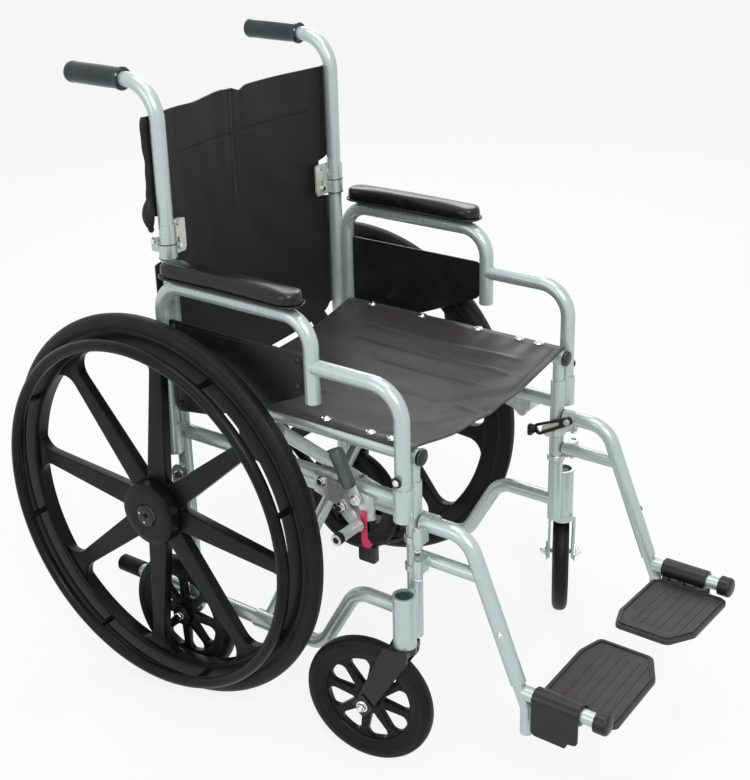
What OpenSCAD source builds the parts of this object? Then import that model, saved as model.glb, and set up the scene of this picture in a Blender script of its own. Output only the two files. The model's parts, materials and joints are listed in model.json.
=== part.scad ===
// Folding transport wheelchair: front is -Y, the user's right is -X, up is +Z.
// Every module is drawn on the right side, and the left side is its mirror image.
// Y is measured from the rear axle, and the last step centres the chair on its bounding box.

/* [Side frames] */
// Distance between the centre planes of the two side frames
frame_w = 390; // [380:2:400]
// Outer diameter of the frame tubes
tube_d = 22; // [21:0.5:22.5]
// Distance from the rear post forward to the front post
post_gap = 419; // [412:1:426]
// Height of the lower side tube
low_z = 124; // [120:1:130]
// Height of the middle side tube
mid_z = 410; // [404:1:414]
// Height of the seat rail
rail_z = 484; // [480:1:490]
// Height at which the lower side tube meets the front post
rise_z = 240; // [234:1:246]
// Bottom end of the front post
post_foot_z = 206; // [204:1:212]
// Top end of the front post
post_top_z = 447; // [444:1:450]
// Length of the tipping lever behind the rear post
lever_l = 118; // [100:1:130]
// Bend radius of the frame tubes
bend_r = 42; // [36:1:44]

/* [Back] */
// Height of the hinge line of the folding back
hinge_z = 706; // [700:1:712]
// Height of the push handles
handle_z = 931; // [920:1:940]
// Radius of the cane's bend into the push handle
cane_r = 54; // [48:1:56]
// Rear end of the push handles, behind the rear axle
handle_y = 166; // [156:1:176]
// Diameter of the hand grips
grip_d = 31; // [29:0.5:33]
// Length of the hand grips
grip_l = 108; // [95:1:110]
// Distance from the cane's axis back to the hinge pin
hinge_back = 17.6; // [17.4:0.1:18.4]
// Distance from the push handles down to the top edge of the back upholstery
back_drop = 47; // [43:1:60]

/* [Arms] */
// Distance from the side frame outward to the arm tubes
arm_out = 25; // [25:0.5:27]
// Height of the arm's top tube
arm_z = 652; // [644:1:660]
// Distance from the rear post forward to the arm's drop tube
drop_y = 274; // [266:1:282]
// Height of the arm's forward tube
desk_z = 586; // [578:1:594]
// Bottom end of the arm's drop tube
drop_foot_z = 533; // [526:1:540]
// Length of the arm pad
pad_l = 252; // [240:1:256]
// Width of the arm pad
pad_w = 46; // [40:1:46]
// Thickness of the arm pad
pad_t = 27; // [22:1:30]

/* [Seat] */
// Front end of the seat rails, in front of the rear axle
rail_front_y = 430; // [426:1:440]
// Depth of the seat upholstery
seat_depth = 402; // [390:1:404]
// Sag of the seat upholstery at its middle
seat_sag = 24; // [12:1:34]
// Thickness of the upholstery
fabric_t = 4; // [3:0.5:6]
// Sag of the back upholstery at its middle
back_sag = 20; // [10:1:30]

/* [Drive wheels] */
// Outer diameter of the drive wheels
drive_d = 610; // [602:1:612]
// Width of the drive tyre
drive_tyre_w = 31; // [28:0.5:32]
// Distance from the side frame outward to the drive wheel's centre plane
drive_out = 62; // [61:0.5:64]
// Diameter of the hand rim at its tube's axis
hand_rim_d = 540; // [530:1:546]
// Diameter of the hand rim's tube
hand_rim_tube = 18; // [15:0.5:19]
// Distance from the drive wheel's centre plane outward to the hand rim
hand_rim_out = 40; // [38:0.5:44]
// Number of spokes
spokes = 8; // [6:1:10]
// Diameter of the wheel axle
axle_d = 12.7; // [12:0.1:14]

/* [Castors] */
// Outer diameter of the castor wheels and the transport wheels
castor_d = 196; // [190:1:198]
// Width of the castor tyre
castor_w = 25; // [22:0.5:26]
// Distance of the castor's axle behind its stem
trail = 57; // [52:1:60]
// Swivel angle of the right castor as the photograph shows it
swivel_right = 9; // [-30:1:30]
// Swivel angle of the left castor as the photograph shows it
swivel_left = 61; // [0:1:70]
// Number of windows in the small wheels
windows = 8; // [7:1:10]
// Diameter of the castor stem
stem_d = 12; // [10:0.5:14]
// Outer diameter of the castor housing
housing_d = 33; // [31:0.5:35]

/* [Hangers and footplates] */
// Height of the hanger's upper tube
hanger_z = 388; // [384:1:390]
// Height of the hanger's lower tube
hanger_low_z = 334; // [330:1:338]
// Place of the hanger's knee in front of the rear axle
knee_y = 504; // [498:1:510]
// Place of the hanger's lower end in front of the rear axle
hanger_end_y = 583; // [578:1:588]
// Height of the hanger's lower end
hanger_end_z = 192; // [188:1:196]
// Height of the footplate's hinge axis
foot_z = 180; // [176:1:184]
// Gap between the inner edges of the two footplates
foot_gap = 42; // [34:2:70]
// Length of the footplate from back to front
foot_l = 118; // [110:1:124]

/* [Hidden] */
$fn = 48;

// Shared values
frame_x = -frame_w / 2;
front_y = -post_gap;
tube_r = tube_d / 2;
run_gap = 0.06;
part_gap = 0.3;
skin_gap = 0.2;
plate_t = 4;
pin_d = 8;
lip = 1;
web = 0.98;

arm_x = frame_x - arm_out;
arm_rear_y = -4;
socket_d = tube_d + 5;
socket_l = 48;
socket_z = post_top_z - 1;
rear_socket_z = socket_z - 13;
arm_foot_z = socket_z - socket_l + 4;
rear_foot_z = rear_socket_z - socket_l + 4;

housing_x = frame_x - (tube_d + housing_d) / 2 + lip;
housing_top_z = 283;
housing_foot_z = 203.5;
plug_recess = 6;
plug_d = housing_d - 7;

guide_d = 17.4;
guide_l = 220;
guide_bore_d = guide_d + 2 * run_gap;

sleeve_d = tube_d + 4.6;
sleeve_low_z = hinge_z - 24;
sleeve_top_z = hinge_z + 25;
release_travel = 10;
ear_r = 6;
ear_in = 5.2;
ear_t = 3.6;

drive_x = frame_x - drive_out;
drive_r = drive_d / 2;
wheel_turn = 39.5;
rim_r = drive_r - 22;
rim_in_r = drive_r - 50;
rim_half_w = 13;
tab_r = (rim_r + rim_in_r) / 2 + 1;
spoke_t = 16;
hub_r = 50;
hub_in_x = frame_x - tube_r - 15;
hub_out_x = drive_x - 30;
plate_x = frame_x - tube_r - 0.2;

castor_r = castor_d / 2;
transport_x = frame_x - 27;
transport_z = castor_r + 4;
transport_y = 0;

pivot_x = frame_x - 20;
pivot_y = front_y - 19;
knuckle_r = 8;
knuckle_l = 20;
lug_t = 7;
upper_knuckle_z = hanger_z - 22;
lower_knuckle_z = hanger_low_z - 12;
tube_back_y = front_y - tube_r - 2;
latch_x = frame_x + tube_r + 1;
latch_y = front_y - 26;
latch_z = hanger_z;
latch_tip_y = front_y + 34;
latch_tip_z = hanger_z - 33;

brace_d = 20;
brace_a_y = -146;
brace_b_y = -176;
brace_top_z = rail_z - 22;
brace_sleeve_l = 40;
brace_sleeve_d = tube_d + 6;
brace_eye_d = 18;
brace_eye_y = (brace_a_y + brace_b_y) / 2;
brace_mid_z = (low_z + brace_top_z) / 2;
brace_bolt_d = 10;
brace_eye_half = 7.7;
brace_cut = 60;

seat_front_y = -(seat_depth + 22);
seat_top_z = rail_z + tube_r + part_gap + fabric_t;
back_y = tube_r + 1.6;
back_low_z = rail_z + 4;
back_top_z = handle_z - back_drop;
hinge_notch = 20;
foot_w = (frame_w - foot_gap) / 2;

lock_x = frame_x - 17;
lever_y = -338;
lever_z = 402;
shoe_pivot_y = -318;
shoe_pivot_z = 388;
shoe_reach = 33;
shoe_lean = 47;
shoe_d = 16;

belt_x = frame_x - 9;
belt_y = -348;
belt_top_z = 331;

function unit(v) = v / norm(v);
function arc(c, r, a0, a1, n) = [for (i = [0:n]) c + r * [cos(a0 + (a1 - a0) * i / n), sin(a0 + (a1 - a0) * i / n)]];

// The chair's rear and front ends give the shift that centres its box on the origin
ext_y = -597;
ext_foot_z = 118;
pivot_tube_d = 20;
pivot_end_y = -700;
barrel_l = 66;
foot_back_y = -610;
plate_back_y = -602;
chair_back_y = drive_r;
chair_front_y = plate_back_y - foot_l;
y_shift = -(chair_back_y + chair_front_y) / 2;

// Placement of a right-side piece on the right or the left
module right() translate([0, y_shift, 0]) children();
module left() translate([0, y_shift, 0]) mirror([1, 0, 0]) children();

// Straight round bar between two points
module rod(a, b, d) {
  v = b - a;
  translate(a) rotate([0, acos(v.z / norm(v)), atan2(v.y, v.x)]) cylinder(d = d, h = norm(v));
}

// Elbow at corner p, from direction u to direction v
module elbow(p, u, v, r, d) {
  turn = acos(u * v);
  start = p - u * r * tan(turn / 2);
  n = unit(v - u * cos(turn));
  c = start + n * r;
  e3 = cross(-n, u);
  multmatrix([[-n.x, u.x, e3.x, c.x], [-n.y, u.y, e3.y, c.y], [-n.z, u.z, e3.z, c.z], [0, 0, 0, 1]])
    rotate_extrude(angle = turn) translate([r, 0]) circle(d = d);
}

// Bent tube through the points p with bends of radius r
module tube_run(p, r, d) {
  last = len(p) - 1;
  function heading(i) = unit(p[i + 1] - p[i]);
  function trim(i) = (i == 0 || i == last) ? 0 : r * tan(acos(heading(i - 1) * heading(i)) / 2);
  for (i = [0:last - 1])
    rod(p[i] + heading(i) * trim(i), p[i + 1] - heading(i) * trim(i + 1), d);
  for (i = [1:last - 1])
    elbow(p[i], heading(i - 1), heading(i), r, d);
}

// Flat shape with two round ends of radius ra and rb, joined by a web a little narrower than they are
module taper(a, b, ra, rb) {
  side = unit([a.y - b.y, b.x - a.x]) * web;
  translate(a) circle(r = ra);
  translate(b) circle(r = rb);
  polygon([a + side * ra, b + side * rb, b - side * rb, a - side * ra]);
}

// Upright bar with two round ends, from a to b in plan
module lug(a, b, w, z, h) translate([0, 0, z]) linear_extrude(h) taper(a, b, w / 2, w / 2);

// A flat shape drawn in (Y, Z) and given a thickness along X, from x0 outward to x0 + t
module side_plate(x0, t) translate([x0, 0, 0]) rotate([90, 0, 90]) linear_extrude(t) children();

// A round bar along X
module cross_rod(x0, x1, y, z, d) translate([min(x0, x1), y, z]) rotate([0, 90, 0]) cylinder(d = d, h = abs(x1 - x0));

// A round bar along Y
module long_rod(y0, y1, x, z, d) translate([x, max(y0, y1), z]) rotate([90, 0, 0]) cylinder(d = d, h = abs(y1 - y0));

// Side frame: posts, side tubes, castor housing, arm sockets, hinge bracket and hanger lugs
module side_frame() color([0.78, 0.83, 0.81]) difference() {
  union() {
    rod([frame_x, 0, low_z], [frame_x, 0, hinge_z - part_gap], tube_d);
    rod([frame_x, front_y, post_foot_z], [frame_x, front_y, post_top_z], tube_d);
    rod([frame_x, 0, mid_z], [frame_x, front_y, mid_z], tube_d);
    tube_run([[frame_x, lever_l, low_z], [frame_x, -252, low_z], [frame_x, -318, rise_z],
      [frame_x, front_y, rise_z]], bend_r, tube_d);
    rod([housing_x, front_y, housing_foot_z], [housing_x, front_y, housing_top_z], housing_d);
    arm_socket(front_y, socket_z);
    arm_socket(arm_rear_y, rear_socket_z);
    back_bracket();
    hanger_lug(upper_knuckle_z);
    hanger_lug(lower_knuckle_z);
  }
  translate([frame_x, front_y, rail_z - guide_l - 10]) cylinder(d = guide_bore_d, h = guide_l + 10);
  translate([housing_x, front_y, housing_foot_z - 1]) cylinder(d = stem_d + 2 * run_gap, h = housing_top_z);
  translate([housing_x, front_y, housing_top_z - plug_recess]) cylinder(d = plug_d, h = plug_recess + 1);
  translate([arm_x, front_y, socket_z - socket_l - 1]) cylinder(d = tube_d + 2 * run_gap, h = socket_l + 2);
  translate([arm_x, arm_rear_y, rear_socket_z - socket_l - 1]) cylinder(d = tube_d + 2 * run_gap, h = socket_l + 2);
  cross_rod(frame_x - 20, frame_x + 20, 0, drive_r, axle_d + 2 * run_gap);
}

module arm_socket(y, z) {
  rod([arm_x, y, z - socket_l], [arm_x, y, z], socket_d);
  translate([arm_x + socket_d / 2 - 2, y - 4, z - socket_l]) cube([arm_out - socket_d / 2 - tube_r + 4, 8, socket_l]);
}

// Hinge bracket of the folding back: a sleeve that is open at the rear above the hinge line
module back_bracket() {
  difference() {
    rod([frame_x, 0, sleeve_low_z], [frame_x, 0, sleeve_top_z], sleeve_d);
    translate([frame_x, 0, hinge_z - part_gap]) cylinder(r = tube_r + part_gap, h = 40);
    translate([frame_x - 20, -1, hinge_z - part_gap]) cube([40, 40, 40]);
    cross_rod(frame_x - ear_in, frame_x + ear_in, hinge_back, hinge_z, 2 * ear_r);
  }
  for (side = [-1, 1]) {
    x0 = side > 0 ? frame_x + ear_in : frame_x - ear_in - ear_t;
    side_plate(x0, ear_t) {
      translate([hinge_back, hinge_z]) circle(r = ear_r);
      translate([8, hinge_z - 16]) square([hinge_back + ear_r - 8, 16]);
    }
  }
  cross_rod(frame_x - ear_in - ear_t, frame_x + ear_in + ear_t, hinge_back, hinge_z, 5);
  release_arm(sleeve_low_z + 2);
}

// Small arm on the inner side of the bracket or the cane, which carries the release plate or its stud
module release_arm(z) translate([frame_x + tube_r - 2, 7, z]) cube([27, 3.5, 11]);

// Lug with an upright pin, on which the hanger hangs and swings
module hanger_lug(z) {
  lug([frame_x - 7, front_y - 7], [pivot_x, pivot_y], 12, z - part_gap - lug_t, lug_t);
  rod([pivot_x, pivot_y, z - part_gap - 1], [pivot_x, pivot_y, z + knuckle_l - 2], pin_d);
}

// Axle bracket: plate and bush for the drive wheel, hanger plate and bolt for the transport wheel
module axle_bracket() color([0.75, 0.77, 0.77]) {
  difference() {
    union() {
      side_plate(plate_x - plate_t, plate_t) taper([0, drive_r + 34], [0, drive_r - 34], 17, 17);
      cross_rod(plate_x - plate_t, hub_in_x + part_gap, 0, drive_r, 26);
    }
    cross_rod(frame_x, hub_in_x - 1, 0, drive_r, axle_d + 2 * run_gap);
  }
  for (z = [drive_r - 36, drive_r + 36])
    cross_rod(plate_x - plate_t, plate_x - plate_t - 4, 0, z, 11);
}

// Plate under the lower side tube with the bolt that carries the transport wheel
module transport_mount() color([0.75, 0.77, 0.77]) {
  hub_half = castor_w / 2 + 1;
  side_plate(frame_x - 3, 6) taper([transport_y, transport_z], [transport_y + 2, low_z], 12, 14);
  cross_rod(frame_x + 9, transport_x - hub_half - 3, transport_y, transport_z, pin_d);
  cross_rod(frame_x + 2.9, frame_x + 10, transport_y, transport_z, 14);
  cross_rod(frame_x - 2.9, transport_x + hub_half + part_gap, transport_y, transport_z, 14);
  cross_rod(transport_x - hub_half - part_gap, transport_x - hub_half - 3.5, transport_y, transport_z, 14);
}

// Rubber tip of the tipping lever
module tipping_tip() color([0.06, 0.07, 0.07]) {
  long_rod(lever_l + 0.01, lever_l + 44, frame_x, low_z, tube_d + 5);
  long_rod(lever_l + 44, lever_l + 47, frame_x, low_z, tube_d);
}

// Solid tyre with a rounded tread, lying flat on the XY plane
module tyre(outer_r, inner_r, w, crown) rotate_extrude($fn = 96) intersection() {
  translate([inner_r, -w / 2]) square([outer_r - inner_r, w]);
  translate([outer_r - crown, 0]) circle(r = crown);
}

// Castor frame: origin on the stem's axis, trail along +Y, height from the floor
module castor_place(swivel) translate([housing_x, front_y, 0]) rotate([0, 0, swivel]) children();

// Castor fork: stem, crown, two legs, and the axle bolt with its nut
module castor_fork() color([0.72, 0.77, 0.76]) {
  leg_x = castor_w / 2 + 5;
  crown_z = housing_foot_z - 0.5;
  cylinder_at(0, 0, crown_z - 2, stem_d, housing_top_z - plug_recess - crown_z);
  cylinder_at(0, 0, crown_z - 11, housing_d, 11);
  for (side = [-1, 1]) {
    x0 = side > 0 ? leg_x : -leg_x - 4;
    difference() {
      side_plate(x0, 4) union() {
        taper([trail, castor_r], [8, crown_z - 13], 13, 20);
      }
      translate([-2 * housing_d, -2 * housing_d, crown_z]) cube(4 * housing_d);
    }
  }
  translate([-leg_x - 4, -13, crown_z - 9]) cube([2 * leg_x + 8, 30, 9]);
  cross_rod(-leg_x - 8, leg_x + 8, trail, castor_r, pin_d);
  cross_rod(-leg_x - 3.9, -leg_x - 8, trail, castor_r, 14);
  cross_rod(leg_x + 3.9, leg_x + 9, trail, castor_r, 14);
}

module cylinder_at(x, y, z, d, h) translate([x, y, z]) cylinder(d = d, h = h);

// Small spoked wheel with its tyre, lying flat with its axis on Z
module small_wheel() {
  rim = castor_r - 16;
  hub = 17;
  color([0.07, 0.07, 0.07]) {
    difference() {
      union() {
        translate([0, 0, -5]) cylinder(r = rim - 4, h = 10, $fn = 96);
        translate([0, 0, -castor_w / 2 - 1]) cylinder(r = hub, h = castor_w + 2);
        difference() {
          translate([0, 0, -castor_w / 2 + 2]) cylinder(r = rim, h = castor_w - 4, $fn = 96);
          translate([0, 0, -castor_w]) cylinder(r = rim - 9, h = 2 * castor_w, $fn = 96);
        }
      }
      for (i = [0:windows - 1])
        rotate([0, 0, i * 360 / windows]) translate([0, 0, -castor_w])
          linear_extrude(2 * castor_w) taper([rim - 33, 0], [hub + 10, 0], 12, 3);
      translate([0, 0, -castor_w]) cylinder(d = pin_d + 2 * run_gap, h = 2 * castor_w);
    }
    tyre(castor_r, rim + 0.01, castor_w, 14);
  }
}

// Drive wheel: rim, eight spokes and hub moulded in one, lying flat with its axis on Z
module drive_wheel_flat() difference() {
  union() {
    difference() {
      translate([0, 0, -rim_half_w]) cylinder(r = rim_r, h = 2 * rim_half_w, $fn = 120);
      translate([0, 0, -14]) cylinder(r = rim_in_r, h = 28, $fn = 120);
    }
    translate([0, 0, -spoke_t / 2]) linear_extrude(spoke_t) union() {
      circle(r = hub_r - 2);
      for (i = [0:spokes - 1])
        rotate(i * 360 / spokes) spoke();
    }
    translate([0, 0, -24]) cylinder(r = hub_r - 14, h = 48);
    translate([0, 0, 8]) cylinder(r = hub_r, h = drive_x - hub_out_x - 8);
    translate([0, 0, drive_x - hub_in_x]) cylinder(r = 24, h = hub_in_x - drive_x);
  }
  translate([0, 0, drive_x - hub_in_x - 1]) cylinder(d = axle_d + 2 * run_gap, h = 200);
  translate([0, 0, drive_x - hub_out_x - 6]) cylinder(r = 17, h = 20);
}

// One spoke, tapered and spread where it meets the rim
module spoke() polygon([[hub_r - 20, -19], [hub_r - 20, 19], [rim_in_r - 40, 12], [rim_in_r - 12, 16],
    [rim_in_r + 2, 28], [rim_in_r + 2, -28], [rim_in_r - 12, -16], [rim_in_r - 40, -12]]);

// The drive wheel's axis, with local Z pointing outward from the chair
module drive_place() translate([drive_x, 0, drive_r]) rotate([0, -90, 0]) rotate([0, 0, wheel_turn]) children();

module drive_wheel() color([0.05, 0.05, 0.055]) drive_place() drive_wheel_flat();

module drive_tyre() color([0.04, 0.04, 0.04]) drive_place() tyre(drive_r, rim_r + 0.01, drive_tyre_w, 19);

// Hand rim with its tabs, which are screwed to the wheel's rim
module hand_rim() color([0.04, 0.04, 0.04]) drive_place() {
  translate([0, 0, hand_rim_out]) rotate_extrude($fn = 120) translate([hand_rim_d / 2, 0]) circle(d = hand_rim_tube);
  for (i = [0:spokes - 1])
    rotate([0, 0, (i + 0.5) * 360 / spokes])
      rod([tab_r, 0, rim_half_w + 0.01], [hand_rim_d / 2, 0, hand_rim_out], 9);
}

// Quick-release axle with its sleeve flange and the ball end behind the post
module quick_axle() color([0.8, 0.8, 0.8]) difference() {
  union() {
    cross_rod(frame_x + tube_r + 6, hub_out_x + 6, 0, drive_r, axle_d);
    cross_rod(hub_out_x + 5.99, hub_out_x - 2, 0, drive_r, 30);
  }
  cross_rod(hub_out_x + 16, hub_out_x - 4, 0, drive_r, 8 + 2 * run_gap);
}

module axle_button() color([0.1, 0.1, 0.1]) cross_rod(hub_out_x + 10, hub_out_x - 7, 0, drive_r, 8);

module transport_wheel() translate([transport_x, transport_y, transport_z]) rotate([0, 90, 0]) small_wheel();

// Upper cane with its bend back into the handle, its hinge knuckle and the stud that the release plate holds
module back_cane() color([0.78, 0.83, 0.81]) {
  tube_run([[frame_x, 0, hinge_z + part_gap], [frame_x, 0, handle_z], [frame_x, handle_y - 4, handle_z]], cane_r, tube_d);
  difference() {
    union() {
      cross_rod(frame_x - ear_in + part_gap, frame_x + ear_in - part_gap, hinge_back, hinge_z, 2 * ear_r - 0.8);
      translate([frame_x - ear_in + part_gap, 6, hinge_z + 0.5]) cube([2 * (ear_in - part_gap), hinge_back - 6, 5]);
    }
    cross_rod(frame_x - 20, frame_x + 20, hinge_back, hinge_z, 5 + 2 * run_gap);
  }
  release_arm(hinge_z + 13);
  long_rod(8, 2.5, frame_x + 27, hinge_z + 19, 4);
}

// Hand grip with a collar at its front end
module hand_grip() color([0.06, 0.13, 0.12]) difference() {
  union() {
    long_rod(handle_y - grip_l, handle_y, frame_x, handle_z, grip_d);
    long_rod(handle_y - grip_l, handle_y - grip_l + 6, frame_x, handle_z, grip_d + 2);
  }
  long_rod(handle_y - grip_l - 1, handle_y - 4 + skin_gap, frame_x, handle_z, tube_d + 2 * run_gap);
}

// Release plate with a V notch that catches the cane's stud
module back_release() color([0.86, 0.87, 0.87]) {
  px = frame_x + 27;
  translate([0, 6.5, 0]) rotate([90, 0, 0]) linear_extrude(3) difference() {
    polygon([[px - 13, hinge_z - 25], [px + 12, hinge_z - 25], [px + 15, hinge_z - 18],
      [px + 15, hinge_z + 23], [px + 6, hinge_z + 25], [px + 2.6, hinge_z + 15],
      [px - 2.6, hinge_z + 15], [px - 6, hinge_z + 25], [px - 13, hinge_z + 23]]);
    taper([px, hinge_z - 14], [px, hinge_z - 14 + release_travel], 2.65, 2.65);
  }
}

// Pin on which the release plate slides
module release_pin() color([0.7, 0.7, 0.7]) {
  long_rod(8, 2, frame_x + 27, hinge_z - 14, 5);
  long_rod(3.2, 1, frame_x + 27, hinge_z - 14, 9);
}

// Arm frame: rear tube, top tube, drop tube and the forward tube down to its socket
module arm_frame() color([0.78, 0.83, 0.81]) difference() {
  arm_tubes();
  cross_rod(arm_x, arm_x - 30, front_y, socket_z + 14, 7 + 2 * run_gap);
}

module arm_tubes() {
  tube_run([[arm_x, arm_rear_y, rear_foot_z], [arm_x, arm_rear_y, arm_z], [arm_x, -drop_y, arm_z],
    [arm_x, -drop_y, drop_foot_z]], bend_r, tube_d);
  tube_run([[arm_x, -drop_y, desk_z], [arm_x, front_y, desk_z], [arm_x, front_y, arm_foot_z]], bend_r + 4, tube_d);
}

// Arm pad: crowned on top, round at both ends
module arm_pad() color([0.05, 0.05, 0.05]) intersection() {
  z0 = arm_z + tube_r + skin_gap;
  y0 = -10;
  translate([0, y0, 0]) rotate([90, 0, 0]) linear_extrude(pad_l)
    polygon(concat([[arm_x - pad_w / 2 + 3, z0], [arm_x + pad_w / 2 - 3, z0]],
      arc([arm_x + pad_w / 2 - 9, z0 + pad_t - 12], 9, -20, 70, 6),
      arc([arm_x, z0 + pad_t - 60], 60, 75, 105, 6),
      arc([arm_x - pad_w / 2 + 9, z0 + pad_t - 12], 9, 110, 200, 6)));
  translate([0, 0, z0 - 1]) linear_extrude(pad_t + 2) union() {
    translate([arm_x, y0 - pad_w / 2]) circle(d = pad_w);
    translate([arm_x, y0 - pad_l + pad_w / 2]) circle(d = pad_w);
    translate([arm_x - pad_w / 2, y0 - pad_l + pad_w / 2]) square([pad_w, pad_l - pad_w]);
  }
}

// Side panel between the arm's rear tube and its drop tube
module arm_panel() color([0.06, 0.06, 0.06]) {
  y0 = arm_rear_y - tube_r - skin_gap;
  y1 = -drop_y + tube_r + skin_gap;
  side_plate(arm_x - 1.5, 3)
    polygon([[y0, 600], [y1, 600], [y1, 541], [y1 + 54, 516], [y0 - 76, 466], [y0, 455]]);
}

// Push button that locks the arm in its front socket
module arm_button() color([0.92, 0.92, 0.9]) {
  cross_rod(arm_x - tube_r + 4, arm_x - tube_r - 8, front_y, socket_z + 14, 7);
}

// Seat rail with its guide tube, the ears for the brace and the front plug
module seat_rail() {
  color([0.78, 0.83, 0.81]) {
    long_rod(-16, -rail_front_y, frame_x, rail_z, tube_d);
    rod([frame_x, front_y, rail_z], [frame_x, front_y, rail_z - guide_l], guide_d);
    for (y = [brace_eye_y + 8, brace_eye_y - 12])
      translate([0, y + 4, 0]) rotate([90, 0, 0]) linear_extrude(4)
        taper([frame_x, rail_z - 2], [frame_x, brace_top_z], 9, 9);
    long_rod(brace_eye_y + 14, brace_eye_y - 14, frame_x, brace_top_z, pin_d);
  }
  color([0.05, 0.05, 0.05]) long_rod(-rail_front_y - 0.01, -rail_front_y - 4, frame_x, rail_z, tube_d + 2);
}

// Swing-away hanger: upper tube with its knee, lower tube and knuckles
module hanger() color([0.78, 0.83, 0.81]) {
  tube_run([[frame_x, tube_back_y, hanger_z], [frame_x, -knee_y, hanger_z],
    [frame_x, -hanger_end_y, hanger_end_z]], bend_r - 2, tube_d);
  rod([frame_x, tube_back_y, hanger_low_z], [frame_x, -knee_y - 16, hanger_low_z], tube_d - 3);
  knuckle(upper_knuckle_z);
  knuckle(lower_knuckle_z);
  cross_rod(frame_x, latch_x + 5, latch_y, latch_z, 6);
  cross_rod(latch_x + 4 + part_gap, latch_x + 7, latch_y, latch_z, 10);
}

module knuckle(z) difference() {
  union() {
    translate([pivot_x, pivot_y, z]) cylinder(r = knuckle_r, h = knuckle_l);
    translate([pivot_x, pivot_y - 8, z]) cube([14, 12, knuckle_l]);
  }
  translate([pivot_x, pivot_y, z - 1]) cylinder(d = pin_d + 2 * run_gap, h = knuckle_l + 2);
}

// Latch lever on the inner side of the hanger's upper tube
module hanger_latch() color([0.1, 0.1, 0.1]) difference() {
  union() {
    side_plate(latch_x, 4) taper([latch_y, latch_z], [latch_tip_y - 8, latch_tip_z + 8], 8, 6);
    translate([latch_x, latch_tip_y - 12, latch_tip_z]) cube([22, 12, 6]);
    translate([latch_x, latch_tip_y - 6, latch_tip_z]) cube([22, 6, 20]);
  }
  cross_rod(latch_x - 1, latch_x + 10, latch_y, latch_z, 6 + 2 * run_gap);
}

// Footrest extension below the hanger, with the pivot tube for the footplate
module footrest_tube() color([0.82, 0.84, 0.84]) {
  slope = unit([0, knee_y - hanger_end_y, hanger_end_z - hanger_z]);
  top = [frame_x, -hanger_end_y, hanger_end_z] + slope * 0.1;
  turn = [frame_x, ext_y, top.z + (ext_y - top.y) * slope.z / slope.y];
  tube_run([top, turn, [frame_x, ext_y - 0.01, ext_foot_z]], 20, tube_d - 4);
  long_rod(ext_y + 5, pivot_end_y, frame_x, foot_z, pivot_tube_d);
  color([0.05, 0.05, 0.05]) long_rod(pivot_end_y - 0.01, pivot_end_y - 14, frame_x, foot_z, 28);
}

// Footplate: hinge barrel, plate with chamfered corners, ribs and outer skirt
module footplate() color([0.12, 0.11, 0.12]) difference() {
  union() {
    long_rod(foot_back_y, foot_back_y - barrel_l, frame_x, foot_z, 30);
    translate([frame_x, plate_back_y, foot_z - 12]) rotate([0, -3, 0]) translate([0, 0, -8]) {
      linear_extrude(8) polygon([[12, -14], [24, 0], [foot_w * 0.6, 0], [foot_w * 0.82, -10], [foot_w, -42],
        [foot_w, -foot_l + 20], [foot_w - 26, -foot_l], [20, -foot_l], [12, -foot_l + 12]]);
      for (i = [0:5])
        translate([30, -32 - i * 14, 7]) cube([foot_w - 52, 5, 3]);
    }
    translate([frame_x, foot_back_y - barrel_l, foot_z - 20]) cube([20, barrel_l, 8]);
    translate([frame_x - 15, foot_back_y - barrel_l, foot_z - 52]) cube([5, barrel_l, 52]);
  }
  long_rod(foot_back_y + 1, foot_back_y - 140, frame_x, foot_z, pivot_tube_d + 2 * run_gap);
}

// Wheel lock: clamp on the middle tube and the plate that carries the lever and the shoe
module lock_bracket() color([0.75, 0.77, 0.77]) {
  difference() {
    long_rod(-262, -300, frame_x, mid_z, tube_d + 7);
    long_rod(-261, -301, frame_x, mid_z, tube_d + 2 * run_gap);
  }
  difference() {
    side_plate(lock_x, 4) polygon([[-262, mid_z + 8], [-262, mid_z - 18], [shoe_pivot_y, shoe_pivot_z - 12],
      [lever_y - 8, lever_z - 34], [lever_y - 26, lever_z - 26], [lever_y - 26, lever_z + 8], [-300, mid_z + 8]]);
    long_rod(-200, -400, frame_x, mid_z, tube_d + 2 * run_gap);
  }
  cross_rod(lock_x + 0.01, lock_x - 12, lever_y, lever_z, pin_d);
  cross_rod(lock_x + 0.01, lock_x - 12, shoe_pivot_y, shoe_pivot_z, pin_d);
}

// Wheel-lock lever with its grip
module lock_lever() {
  top = [lever_y + 32, lever_z + 70];
  foot = [lever_y, lever_z];
  mid = foot + (top - foot) * 0.28;
  color([0.75, 0.77, 0.77]) difference() {
    side_plate(lock_x - 5, 4.5) taper(foot, mid, 11, 6);
    cross_rod(lock_x + 5, lock_x - 20, lever_y, lever_z, pin_d + 2 * run_gap);
  }
  color([0.2, 0.24, 0.23]) rod([lock_x - 6, mid.x, mid.y], [lock_x - 6, top.x, top.y], 22);
}

// Brake shoe on its arm
module brake_shoe() color([0.75, 0.77, 0.77]) {
  foot = [shoe_pivot_y - shoe_reach * sin(shoe_lean), shoe_pivot_z - shoe_reach * cos(shoe_lean)];
  difference() {
    side_plate(lock_x - 10, 4.5) taper([shoe_pivot_y, shoe_pivot_z], foot, 10, 9);
    cross_rod(lock_x + 5, lock_x - 20, shoe_pivot_y, shoe_pivot_z, pin_d + 2 * run_gap);
  }
  cross_rod(lock_x - 6, drive_x - 12, foot.x, foot.y, shoe_d);
}

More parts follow.
